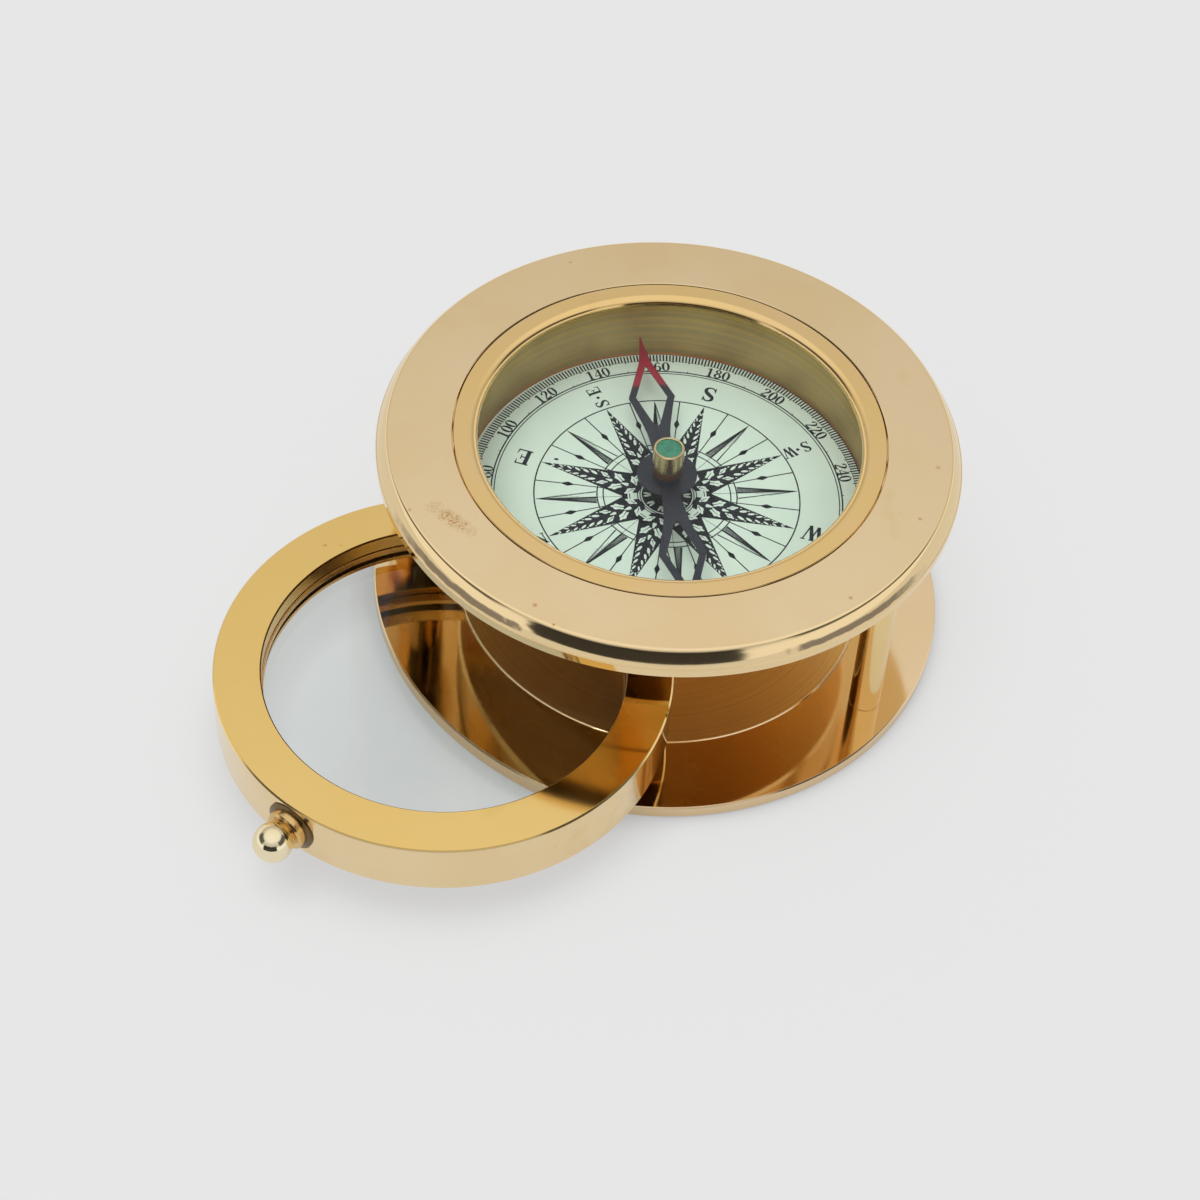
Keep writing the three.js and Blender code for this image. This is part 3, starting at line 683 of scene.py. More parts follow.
def only_material(made, material):
    made.data.materials.clear()
    made.data.materials.append(material)


def finish_piece(made, material, body, slot, *nodes):
    """Gives an object its material and body, and says which CAD nodes it stands for. The slot is not used."""
    only_material(made, material)
    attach(made, body)
    if nodes:
        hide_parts(*nodes)


def final_mesh(item):
    """The mesh of an object with all its modifiers."""
    depsgraph = bpy.context.evaluated_depsgraph_get()
    return bpy.data.meshes.new_from_object(item.evaluated_get(depsgraph))


def shaped(name, first, tools):
    """Joins shapes to the first one, or cuts them out of it, and returns the result as one mesh."""
    main = add_object(name + "_blank", first)
    helpers = []
    for operation, tool in tools:
        helper = add_object(name + "_tool", tool)
        change = main.modifiers.new("change", "BOOLEAN")
        change.operation = operation
        change.solver = "EXACT"
        change.object = helper
        helpers.append(helper)
    result = bmesh.new()
    result.from_mesh(final_mesh(main))
    for item in [main, *helpers]:
        bpy.data.objects.remove(item)
    bmesh.ops.dissolve_degenerate(result, edges=result.edges, dist=1e-7)
    for edge in result.edges:
        edge.smooth = True
    return result


def placed(mesh, matrix):
    bmesh.ops.transform(mesh, matrix=matrix, verts=mesh.verts)
    return mesh


def turned_piece(name, outline, sides, material, slot, replaced, body="frame", centre=(0, 0), place=Matrix()):
    """Turns an outline into a piece that stands for one CAD node."""
    mesh = placed(turned(eased(outline), sides, centre), place)
    finish_piece(add_object(name, mesh), material, body, slot, replaced)


def round_bar(radius, low, high, sides, place=(0, 0)):
    return turned([(0, low), (radius, low), (radius, high), (0, high)], sides, place)


# Base plate with its turned disc and the countersunk holes under the posts
def base_plate():
    disc = BASE_TOP - 0.15
    outline = [
        (0, 0), (BASE_RADIUS - 0.3, 0, 0.05), (BASE_RADIUS, 0.3, 0.05),
        (BASE_RADIUS, BASE_TOP - 0.18, 0.05), (BASE_RADIUS - 0.18, BASE_TOP, 0.05),
        (SATIN_RADIUS + 0.26, BASE_TOP, 0.02), (SATIN_RADIUS + 0.19, BASE_TOP - 0.11, 0.02),
        (SATIN_RADIUS + 0.03, BASE_TOP, 0.02), (SATIN_RADIUS - 0.14, disc, 0.03), (0, disc),
    ]
    sink = [(0, -1.0), (2.7, -1.0), (2.7, 0.15), (SHAFT_RADIUS, 1.45), (SHAFT_RADIUS, 3.0), (0, 3.0)]
    tools = [("DIFFERENCE", turned(sink, 48, place)) for place in POSTS.values()]
    mesh = shaped("base", turned(eased(outline), 256), tools)
    finish_piece(add_object("base_plate_turned", mesh), BASE_BRASS, "frame", "polished_brass", "base_plate")


# Top plate with a plain band below its rounded edge and a stepped hole for the compass
def top_plate():
    hole = BOWL_RADIUS + 0.15
    outline = [
        (hole, PLATE_FOOT, 0.04), (PLATE_RADIUS - 0.12, PLATE_FOOT, 0.04),
        (PLATE_RADIUS, PLATE_FOOT + 0.12, 0.04), (PLATE_RADIUS, 29.3, 0.04),
        *arc(30.773, 26.826, 7.45, 7.45, 19.4, 38, 12),
        *arc(36.25, PLATE_TOP - 0.5, 0.5, 0.5, 38, 90, 8)[1:],
        (28.2, PLATE_TOP, 0.04), (28.1, PLATE_TOP - 0.1, 0.04),
        (28.2, PLATE_LEDGE, 0.04), (hole, PLATE_LEDGE, 0.04),
    ]
    holes = [("DIFFERENCE", round_bar(1.4, 27.0, 30.1, 32, place)) for place in POSTS.values()]
    mesh = shaped("top", turned(eased(outline), 256), holes)
    finish_piece(add_object("top_plate_turned", mesh), PLATE_BRASS, "frame", "polished_brass", "top_plate")


# Posts, the sleeves round the pivot, and the screws below
def posts_and_sleeves():
    for name, place in POSTS.items():
        radius = 2.0 if name == "pivot" else 2.05
        outline = [
            (0, 5.55), (SHAFT_RADIUS, 5.35), (SHAFT_RADIUS, BASE_TOP, 0.04), (radius, BASE_TOP, 0.08),
            (radius, PLATE_FOOT, 0.08), (1.3, PLATE_FOOT, 0.04), (1.3, 29.9, 0.1), (0, 29.9),
        ]
        post = f"post_{name}"
        turned_piece(post + "_turned", outline, 96, POST_BRASS, "polished_brass", post, centre=place)
        only_material(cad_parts[f"screw_{name}"], SCREW_BRASS)
    edge = SLEEVE_RADIUS - 0.1
    for name, low, high in (("lower", BASE_TOP, RING_FOOT - PLAY), ("upper", RING_TOP + PLAY, PLATE_FOOT)):
        outline = [
            (2.1, low, 0.04), (edge, low, 0.03), (SLEEVE_RADIUS, low + 0.1, 0.03),
            (SLEEVE_RADIUS, high - 0.1, 0.03), (edge, high, 0.03), (2.1, high, 0.04),
        ]
        sleeve = f"sleeve_{name}"
        turned_piece(sleeve + "_turned", outline, 96, POST_BRASS, "polished_brass", sleeve, centre=PIVOT)


# Compass bowl, bezel, glass and card
def compass_case():
    drum, wall, seat, eye = BOWL_RADIUS, 26.6, 27.2, 0.85
    bowl = [
        (0, BOWL_FOOT), (drum - 0.4, BOWL_FOOT, 0.1), (drum, BOWL_FOOT + 0.4, 0.1), (drum, PLATE_LEDGE, 0.03),
        (FLANGE_RADIUS, PLATE_LEDGE, 0.03), (FLANGE_RADIUS, GLASS_TOP, 0.03), (seat, GLASS_TOP, 0.03),
        (seat, GLASS_FOOT, 0.03), (wall, GLASS_FOOT, 0.08), (wall, BOWL_FLOOR, 0.08),
        (eye, BOWL_FLOOR, 0.03), (eye, BOWL_FOOT + 0.4, 0.03), (0, BOWL_FOOT + 0.4),
    ]
    bezel = [
        (24.95, GLASS_TOP, 0.05), (FLANGE_RADIUS, GLASS_TOP, 0.03), (27.96, PLATE_TOP - 0.12, 0.03),
        (27.86, PLATE_TOP, 0.03), *arc(25.9, PLATE_TOP - 0.95, 1.1, 0.95, 90, 180, 14),
    ]
    pane = [(0, GLASS_FOOT), (27.05, GLASS_FOOT, 0.08), (27.05, GLASS_TOP, 0.08), (0, GLASS_TOP)]
    card = [(0.9, BOWL_FLOOR), (26.5, BOWL_FLOOR, 0.03), (26.5, DIAL_FACE, 0.03), (0.9, DIAL_FACE, 0.02)]
    turned_piece("compass_bowl_turned", bowl, 224, BOWL_BRASS, "bowl_brass", "compass_bowl")
    turned_piece("bezel_turned", bezel, 224, BEZEL_BRASS, "polished_brass", "bezel")
    turned_piece("compass_glass_pane", pane, 192, COMPASS_GLASS, "lens_glass", "compass_glass")
    turned_piece("dial_card_disc", card, 192, DIAL_PAPER, "dial_card", "dial_card")
    only_material(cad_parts["needle_pin"], PIN_STEEL)


# What is printed on the dial. Each mark is a very thin solid on the face of the card.
INK_LEVELS = (DIAL_FACE - 0.01, DIAL_FACE + 0.008)
WHITE_LEVELS = (DIAL_FACE - 0.01, DIAL_FACE + 0.016)
VEIN_LEVELS = (DIAL_FACE - 0.01, DIAL_FACE + 0.022)
NORTH_ANGLE = 255.2
POINT_TIP = 17.5
# The print isn't quite in the middle of the card.
PRINT_SHIFT = 0.27


def as_drawn(x, y):
    return x, y


def smooth_path(points, closed, steps=5):
    """A smooth path through points of (x, y, width)."""
    count = len(points)
    result = []
    for i in range(count if closed else count - 1):
        four = []
        for k in (-1, 0, 1, 2):
            index = (i + k) % count if closed else min(max(i + k, 0), count - 1)
            four.append(Vector(points[index]))
        before, start, finish, after = four
        for step in range(steps):
            t = step / steps
            bend = (finish - before) * t + (2 * before - 5 * start + 4 * finish - after) * t ** 2
            bend += (3 * start - before - 3 * finish + after) * t ** 3
            result.append(start + bend * 0.5)
    if not closed:
        result.append(Vector(points[-1]))
    return result


def add_ribbon(mesh, points, closed=False, levels=INK_LEVELS, place=as_drawn):
    """Adds a flat band along points of (x, y, width), placed by a function of x and y."""
    count = len(points)
    stations = []
    for i, (x, y, width) in enumerate(points):
        ahead = points[(i + 1) % count] if closed else points[min(i + 1, count - 1)]
        behind = points[i - 1] if closed else points[max(i - 1, 0)]
        along = Vector((ahead[0] - behind[0], ahead[1] - behind[1])).normalized()
        side = Vector((-along[1], along[0])) * (width / 2)
        left, right = place(x + side[0], y + side[1]), place(x - side[0], y - side[1])
        corners = ((left, levels[1]), (right, levels[1]), (right, levels[0]), (left, levels[0]))
        stations.append([mesh.verts.new((p[0] * MM, p[1] * MM, level * MM)) for p, level in corners])
    for i in range(count if closed else count - 1):
        here, there = stations[i], stations[(i + 1) % count]
        for k in range(4):
            mesh.faces.new((here[k], here[(k + 1) % 4], there[(k + 1) % 4], there[k]))
    if not closed:
        mesh.faces.new(stations[0])
        mesh.faces.new(stations[-1])


def add_shape(mesh, outline, levels=INK_LEVELS):
    """Adds a flat shape with one outline."""
    foot, top = ([mesh.verts.new((x * MM, y * MM, level * MM)) for x, y in outline] for level in levels)
    mesh.faces.new(top)
    mesh.faces.new(list(reversed(foot)))
    for i in range(len(top)):
        k = (i + 1) % len(top)
        mesh.faces.new((top[i], top[k], foot[k], foot[i]))


def round_outline(radius, sides, x=0.0, y=0.0, wide=1.0, high=1.0):
    """The corners of a round or squashed spot."""
    return arc(x, y, radius * wide, radius * high, 0, 360, sides)[:-1]


def add_circle(mesh, radius, width, levels=INK_LEVELS, half_angle=180.0, sides=180):
    """Adds a circle, or as much of it as lies within an angle in degrees of +X."""
    whole = half_angle >= 180
    count = sides if whole else max(int(sides * half_angle / 180), 3) + 1
    points = []
    for i in range(count):
        turn = 360 * i / sides if whole else half_angle * (2 * i / (count - 1) - 1)
        points.append((*on_circle(radius, turn), width))
    add_ribbon(mesh, points, whole, levels)


# Strokes of the letters and figures, in hundredths of their height. A bend is a letter, whether the bend is
# closed, and its points of x, y and width. A line is x, y and width at one end and at the other.
BENDS = (
    ("0", True, (
        (29, 98, 7), (45, 82, 15), (50, 50, 19), (45, 18, 15), (29, 2, 7), (13, 18, 15), (8, 50, 19),
        (13, 82, 15),
    )),
    ("2", False, (
        (10, 70, 17), (14, 89, 11), (30, 96, 8), (46, 84, 17), (43, 64, 17), (25, 38, 12), (8, 12, 8),
    )),
    ("3", False, ((10, 78, 16), (17, 93, 9), (31, 96, 7), (45, 85, 15), (42, 65, 14), (24, 54, 6))),
    ("3", False, (
        (24, 54, 6), (46, 44, 15), (49, 25, 18), (40, 7, 11), (24, 2, 7), (11, 9, 10), (9, 22, 16),
    )),
    ("6", False, (
        (46, 83, 15), (37, 95, 8), (24, 91, 9), (12, 70, 15), (9, 38, 19), (15, 10, 14), (29, 2, 7),
        (45, 12, 15), (49, 30, 18), (42, 50, 12), (29, 56, 6), (14, 46, 8),
    )),
    ("8", True, ((29, 97, 7), (43, 88, 13), (44, 72, 14), (29, 56, 9), (14, 72, 14), (15, 88, 13))),
    ("8", True, ((29, 54, 9), (46, 40, 16), (49, 22, 17), (29, 2, 7), (9, 22, 17), (12, 40, 16))),
    ("S", False, (
        (57, 74, 5), (46, 93, 9), (29, 96, 9), (13, 84, 15), (15, 66, 19), (33, 52, 22), (51, 36, 20),
        (54, 18, 16), (40, 5, 10), (24, 4, 8), (12, 12, 8), (7, 28, 5),
    )),
)
LINES = {
    "1": ((30, 2, 18, 30, 98, 18), (8, 80, 5, 28, 95, 12), (10, 3, 7, 50, 3, 7)),
    "2": ((5, 8, 16, 52, 8, 16), (50, 4, 8, 54, 28, 5)),
    "4": ((40, 98, 6, 3, 32, 6), (1, 29, 9, 58, 29, 9), (40, 2, 17, 40, 98, 17), (24, 3, 6, 56, 3, 6)),
    "E": (
        (20, 2, 21, 20, 98, 21), (2, 96, 8, 68, 96, 8), (2, 4, 8, 72, 4, 8), (20, 50, 7, 50, 50, 7),
        (66, 100, 9, 67, 70, 3), (70, 0, 9, 74, 32, 3), (50, 34, 5, 50, 66, 5),
    ),
    "S": ((57, 100, 6, 58, 68, 3), (7, 0, 6, 6, 32, 3)),
    "W": (
        (12, 97, 20, 34, 2, 17), (34, 2, 7, 52, 80, 7), (48, 97, 20, 72, 2, 17), (72, 2, 7, 94, 97, 7),
        (0, 97, 7, 27, 97, 7), (37, 97, 7, 64, 97, 7), (82, 97, 7, 105, 97, 7),
    ),
    "N": (
        (15, 2, 8, 15, 97, 8), (14, 96, 22, 74, 3, 22), (76, 0, 8, 76, 97, 8), (0, 97, 7, 26, 97, 7),
        (2, 3, 7, 29, 3, 7), (62, 97, 7, 90, 97, 7),
    ),
}
GLYPH_WIDTHS = {"E": 74, "S": 62, "W": 105, "N": 90}


def add_glyph(mesh, letter, height, centre, right_angle, wide=1.0):
    """Adds one letter or figure round a centre, with its reading direction at an angle."""
    cos, sin = on_circle(1.0, right_angle)
    middle = GLYPH_WIDTHS.get(letter, 58) / 2

    def place(x, y):
        u, v = (x - middle) / 100 * height * wide, (y - 50) / 100 * height
        return centre[0] + u * cos - v * sin, centre[1] + u * sin + v * cos

    for owner, closed, points in BENDS:
        if owner == letter:
            add_ribbon(mesh, smooth_path(points, closed), closed, place=place)
    for stroke in LINES.get(letter, ()):
        add_ribbon(mesh, (stroke[:3], stroke[3:]), place=place)


def add_number(mesh, number):
    """Adds a number with its top outwards at its own bearing."""
    angle = NORTH_ANGLE - number
    figures = str(number)
    out = on_circle(24.12, angle)
    for i, figure in enumerate(figures):
        across = on_circle((i - (len(figures) - 1) / 2) * 1.14, angle - 90)
        add_glyph(mesh, figure, 1.66, (out[0] + across[0], out[1] + across[1]), angle - 90, 1.08)


def lettering():
    """The letters of the eight directions, the degree numbers, and the circles of the dial."""
    mesh = bmesh.new()
    for letter, bearing in (("N", 0), ("E", 90), ("S", 180), ("W", 270)):
        add_glyph(mesh, letter, 2.7, on_circle(19.95, NORTH_ANGLE - bearing), NORTH_ANGLE - 90)
    for inner, outer, bearing in (("N", "E", 45), ("S", "E", 135), ("W", "S", 225), ("W", "N", 315)):
        angle = NORTH_ANGLE - bearing
        reading = angle if bearing < 180 else angle + 180
        add_glyph(mesh, inner, 1.85, on_circle(18.6, angle), reading)
        add_glyph(mesh, outer, 1.85, on_circle(21.2, angle), reading)
        add_shape(mesh, round_outline(0.24, 8, *on_circle(19.9, angle)))
    for number in range(20, 361, 20):
        add_number(mesh, number)
    for radius, width in ((25.25, 0.06), (23.2, 0.20), (22.80, 0.14), (17.55, 0.19)):
        add_circle(mesh, radius, width)
    for radius in (3.45, 3.9):
        add_circle(mesh, radius, 0.12, sides=96)
    add_shape(mesh, round_outline(0.28, 8, -14.95, 5.15, 1.2, 0.7))
    return mesh


def around_the_centre():
    """A geometry tree that repeats a mark round the centre of the dial."""
    tree = bpy.data.node_groups.new("around the centre", "GeometryNodeTree")
    sockets = {"Mark": "Geometry", "Count": "Int", "First Turn": "Float", "Step": "Float", "Ink": "Material"}
    for label, kind in sockets.items():
        tree.interface.new_socket(label, in_out="INPUT", socket_type="NodeSocket" + kind)
    tree.interface.new_socket("Marks", in_out="OUTPUT", socket_type="NodeSocketGeometry")
    given = tree.nodes.new("NodeGroupInput").outputs
    points = node(tree, "GeometryNodeMeshLine", {"Count": given["Count"], "Offset": (0, 0, 0)})
    index = node(tree, "GeometryNodeInputIndex").outputs[0]
    turn = scaled(index, given["Step"], given["First Turn"])
    angles = node(tree, "ShaderNodeCombineXYZ", {0: 0.0, 1: 0.0, 2: turn})
    rotation = node(tree, "FunctionNodeEulerToRotation", {0: angles.outputs[0]})
    inputs = {"Points": points.outputs[0], "Instance": given["Mark"], "Rotation": rotation.outputs[0]}
    copies = node(tree, "GeometryNodeInstanceOnPoints", inputs)
    real = node(tree, "GeometryNodeRealizeInstances", {0: copies.outputs[0]})
    inked = node(tree, "GeometryNodeSetMaterial", {"Geometry": real.outputs[0], "Material": given["Ink"]})
    result = tree.nodes.new("NodeGroupOutput")
    tree.links.new(inked.outputs[0], result.inputs[0])
    return tree


AROUND = around_the_centre()


def repeated(mark, count, first_bearing, material):
    """Repeats a mark that is drawn along +X, clockwise from a bearing, and returns the mesh."""
    source = add_object("mark", mark)
    change = source.modifiers.new("repeat", "NODES")
    change.node_group = AROUND
    values = {
        "Count": count,
        "First Turn": math.radians(NORTH_ANGLE - first_bearing),
        "Step": -math.radians(360 / count),
        "Ink": material,
    }
    for item in AROUND.interface.items_tree:
        if item.item_type == "SOCKET" and item.in_out == "INPUT" and item.name in values:
            change[item.identifier] = values[item.name]
    data = final_mesh(source)
    bpy.data.objects.remove(source)
    return data


def ribbon_mark(*lines):
    """A mark made of straight lines, each given by its points of (x, y, width)."""
    mesh = bmesh.new()
    for points in lines:
        add_ribbon(mesh, points)
    return mesh


def tick(inner, outer, width):
    return ribbon_mark([(inner, 0, width), (outer, 0, width)])


def circle_mark(radius, width, levels=INK_LEVELS, half_angle=180.0, sides=180):
    mesh = bmesh.new()
    add_circle(mesh, radius, width, levels, half_angle, sides)
    return mesh


def thin_ray():
    """A thin line from the middle with a small diamond on it."""
    mesh = ribbon_mark([(5.6, 0, 0.13), (POINT_TIP, 0, 0.17)])
    add_shape(mesh, [(12.2, 0), (13.2, 0.38), (14.2, 0), (13.2, -0.38)])
    return mesh


def hatched_point():
    """A narrow point between two main ones: two outlines, one half of it filled with lines."""
    tip, foot, half = (17.4, 0, 0.05), 9.35, 0.98
    lines = [(foot, half, 0.22), (foot, -half, 0.19), (foot, 0.0, 0.19)]
    lines += [(foot, half * i / 6, 0.115) for i in range(1, 6)]
    lines += [(foot + 1.4 + 0.9 * i, -half * i / 4.5, 0.04) for i in range(1, 4)]
    return ribbon_mark(*([start, tip] for start in lines), [(5.5, 0, 0.05), (foot, 0, 0.06)])


def main_point():
    """The black field of a main point."""
    mesh = bmesh.new()
    side = [(3.7, 0.95), (4.9, 1.35), (5.45, 2.22)]
    other_side = [(x, -y) for x, y in reversed(side)]
    add_shape(mesh, [(3.6, 0.0), *side, (POINT_TIP, 0.0), *other_side])
    return mesh


def add_leaf(mesh, u, v, length, width, angle, lobes=0):
    """Adds a white leaf with a number of lobes round its edge."""
    cos, sin = on_circle(1.0, angle)
    outline = []
    for i in range(20):
        turn = 2 * math.pi * i / 20
        swell = 1 + (0.2 * math.cos(lobes * turn) if lobes else 0)
        x, y = length / 2 * math.cos(turn) * swell, width / 2 * math.sin(turn) * swell
        outline.append((u + x * cos - y * sin, v + x * sin + y * cos))
    add_shape(mesh, outline, WHITE_LEVELS)


def leaves_of_point():
    """White leaves on a main point: three lobed pairs from its foot, then small leaves up to the tip."""
    mesh = bmesh.new()
    for side in (1, -1):
        add_leaf(mesh, 4.85, 0.98 * side, 1.50, 0.80, 52 * side, 4)
        add_leaf(mesh, 6.90, 0.86 * side, 1.70, 0.92, 34 * side, 5)
        add_leaf(mesh, 8.80, 0.74 * side, 1.35, 0.58, 24 * side, 4)
        for i in range(6):
            u = 10.15 + 1.12 * i
            half = 0.184 * (POINT_TIP - u)
            add_leaf(mesh, u + 0.15, 0.46 * half * side, 1.05 - 0.09 * i, 0.40 - 0.045 * i, 21 * side)
        for i in range(5):
            u = 9.85 + 1.12 * i
            half = 0.184 * (POINT_TIP - u)
            add_leaf(mesh, u, 0.76 * half * side, 0.30, 0.13, 10 * side)
    add_leaf(mesh, 5.75, 0.0, 1.00, 0.50, 0, 3)
    add_leaf(mesh, 7.95, 0.0, 0.90, 0.42, 0, 3)
    return mesh


def veins_of_point():
    """Dark veins on the lobed leaves."""
    mesh = bmesh.new()
    for side in (1, -1):
        for u, v, length, angle in ((4.85, 0.98, 1.2, 52), (6.90, 0.86, 1.4, 34), (8.80, 0.76, 1.0, 24)):
            x, y = on_circle(length / 2, angle * side)
            path = [(u - x, v * side - y, 0.12), (u + x * 0.6, v * side + y * 0.6, 0.05)]
            add_ribbon(mesh, path, levels=VEIN_LEVELS)
    return mesh


def petals():
    """Two slim petals of the small flower in the middle."""
    mesh = bmesh.new()
    for side in (1, -1):
        add_leaf(mesh, 2.62, 0.20 * side, 1.05, 0.34, 10 * side)
    return mesh


def dial_print():
    """Everything that is printed on the card, as one dark piece and one white piece. Each mark comes with
    the number of times it is there and the bearing of the first one."""
    ink = [
        (tick(25.25, 26.42, 0.22), 360, 0),
        (tick(25.0, 25.3, 0.16), 72, 0),
        (tick(23.2, 23.5, 0.12), 36, 0),
        (thin_ray(), 16, 11.25),
        (hatched_point(), 8, 22.5),
        (main_point(), 8, 0),
        (veins_of_point(), 8, 0),
    ]
    arcs = ((8.43, 0.17, 11.2), (9.25, 0.18, 12.6), (5.58, 0.70, 9.0), (4.95, 0.12, 9.0))
    for radius, width, half_angle in arcs:
        ink.append((circle_mark(radius, width, INK_LEVELS, half_angle), 8, 22.5))
    ink.append((lettering(), 1, NORTH_ANGLE))
    ink.append((circle_mark(2.32, 2.64, sides=64), 1, NORTH_ANGLE))
    white = [
        (leaves_of_point(), 8, 0),
        (petals(), 10, 0),
        (circle_mark(3.43, 0.16, WHITE_LEVELS, 16, 8), 12, 0),
    ]
    for name, marks, material in (("dial_ink_print", ink, DIAL_INK), ("dial_white_print", white, DIAL_WHITE)):
        whole = bmesh.new()
        for mark, count, first_bearing in marks:
            whole.from_mesh(repeated(mark, count, first_bearing, material))
        placed(whole, Matrix.Translation((PRINT_SHIFT * MM, 0, 0)))
        finish_piece(add_object(name, whole), material, "frame", "dial_card")


# Needle: one flat sheet with a round hub and two split arms
ARM = [
    (7.40, 1.50), (9.19, 1.85), (13.49, 2.90), (13.80, 3.04), (14.00, 3.10), (14.22, 3.06), (14.55, 2.93),
    (20.61, 0.85), (24.40, 0.22), (25.45, 0.12), (25.60, 0.05),
]
OPENING = [
    (8.60, 0.0), (8.72, 0.18), (9.09, 0.45), (13.75, 2.02), (14.11, 2.15), (14.45, 2.03), (19.55, 0.22),
    (19.89, 0.12), (19.95, 0.0),
]


def needle_sheet():
    hub = 3.95
    arm_half_width = 1.16
    bevel = 0.01 * MM
    start = math.degrees(math.asin(arm_half_width / hub))
    outline = []
    for side in (0, 180):
        cos, sin = on_circle(1.0, side)
        arm = [(x, -y) for x, y in ARM] + ARM[::-1]
        outline += [(x * cos - y * sin, x * sin + y * cos) for x, y in arm]
        outline += arc(0, 0, hub, hub, side + start, side + 180 - start, 24)
    openings = []
    for side in (1, -1):
        whole = OPENING + [(x, -y) for x, y in reversed(OPENING[1:-1])]
        openings.append([(x * side, y * side) for x, y in whole])
    curve = bpy.data.curves.new("needle", "CURVE")
    curve.dimensions = "2D"
    curve.fill_mode = "BOTH"
    curve.extrude = (NEEDLE_TOP - NEEDLE_FOOT) / 2 * MM - bevel
    curve.bevel_depth = bevel
    for points in (outline, *openings, round_outline(1.45, 32)):
        spline = curve.splines.new("POLY")
        spline.points.add(len(points) - 1)
        spline.use_cyclic_u = True
        for point, (x, y) in zip(spline.points, points):
            point.co = (x * MM, y * MM, 0, 1)
    drawn = bpy.data.objects.new("needle_drawn", curve)
    bpy.context.scene.collection.objects.link(drawn)
    mesh = bmesh.new()
    mesh.from_mesh(final_mesh(drawn))
    bpy.data.objects.remove(drawn)
    middle = Matrix.Translation((0, 0, (NEEDLE_TOP + NEEDLE_FOOT) / 2 * MM))
    placed(mesh, middle @ Matrix.Rotation(math.radians(NEEDLE_ANGLE), 4, "Z"))
    bmesh.ops.remove_doubles(mesh, verts=mesh.verts, dist=2e-6)
    finish_piece(add_object("needle_sheet", mesh), NEEDLE_PAINT, "compass_needle", "needle_steel", "needle")


def needle_cap():
    collar = [
        (0.95, 22.95), (1.4, 22.95), (1.4, NEEDLE_TOP), (1.95, NEEDLE_TOP, 0.04),
        (1.95, CAP_FOOT, 0.04), (0.95, CAP_FOOT, 0.04),
    ]
    cap = [
        (1.15, CAP_FOOT), (1.95, CAP_FOOT, 0.03), (2.05, CAP_FOOT + 0.1, 0.03), (2.05, CAP_TOP - 0.1, 0.03),
        (1.95, CAP_TOP, 0.03), (1.67, CAP_TOP, 0.04), (1.67, ENAMEL_FOOT), (0, ENAMEL_FOOT),
        (0, 26.9), (1.15, 26.9),
    ]
    drop = [(0, ENAMEL_FOOT), (1.64, ENAMEL_FOOT), (1.64, 27.98, 0.06), (1.2, 28.04, 0.3), (0, CAP_TOP)]
    for name, outline, sides, material, slot, replaced in (
        ("needle_collar_turned", collar, 96, COLLAR_COPPER_AND_PAINTED_SHADE, "collar_copper", "needle_collar"),
        ("needle_cap_turned", cap, 96, CAP_BRASS, "polished_brass", "needle_cap"),
        ("cap_enamel_drop", drop, 72, GREEN_ENAMEL, "green_enamel", "cap_enamel"),
    ):
        turned_piece(name, outline, sides, material, slot, replaced, "compass_needle")
    only_material(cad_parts["cap_jewel"], JEWEL_RED)


# Magnifier: the ring with its lug, the lens between its two rings, and the knob
def outer_wall(radius):
    """The outside of the ring, its lug or its web, with a narrow slope at both edges."""
    edge = 0.22
    return [
        (radius - edge, RING_FOOT, 0.03), (radius, RING_FOOT + edge, 0.03),
        (radius, RING_TOP - edge, 0.03), (radius - edge, RING_TOP, 0.03),
    ]


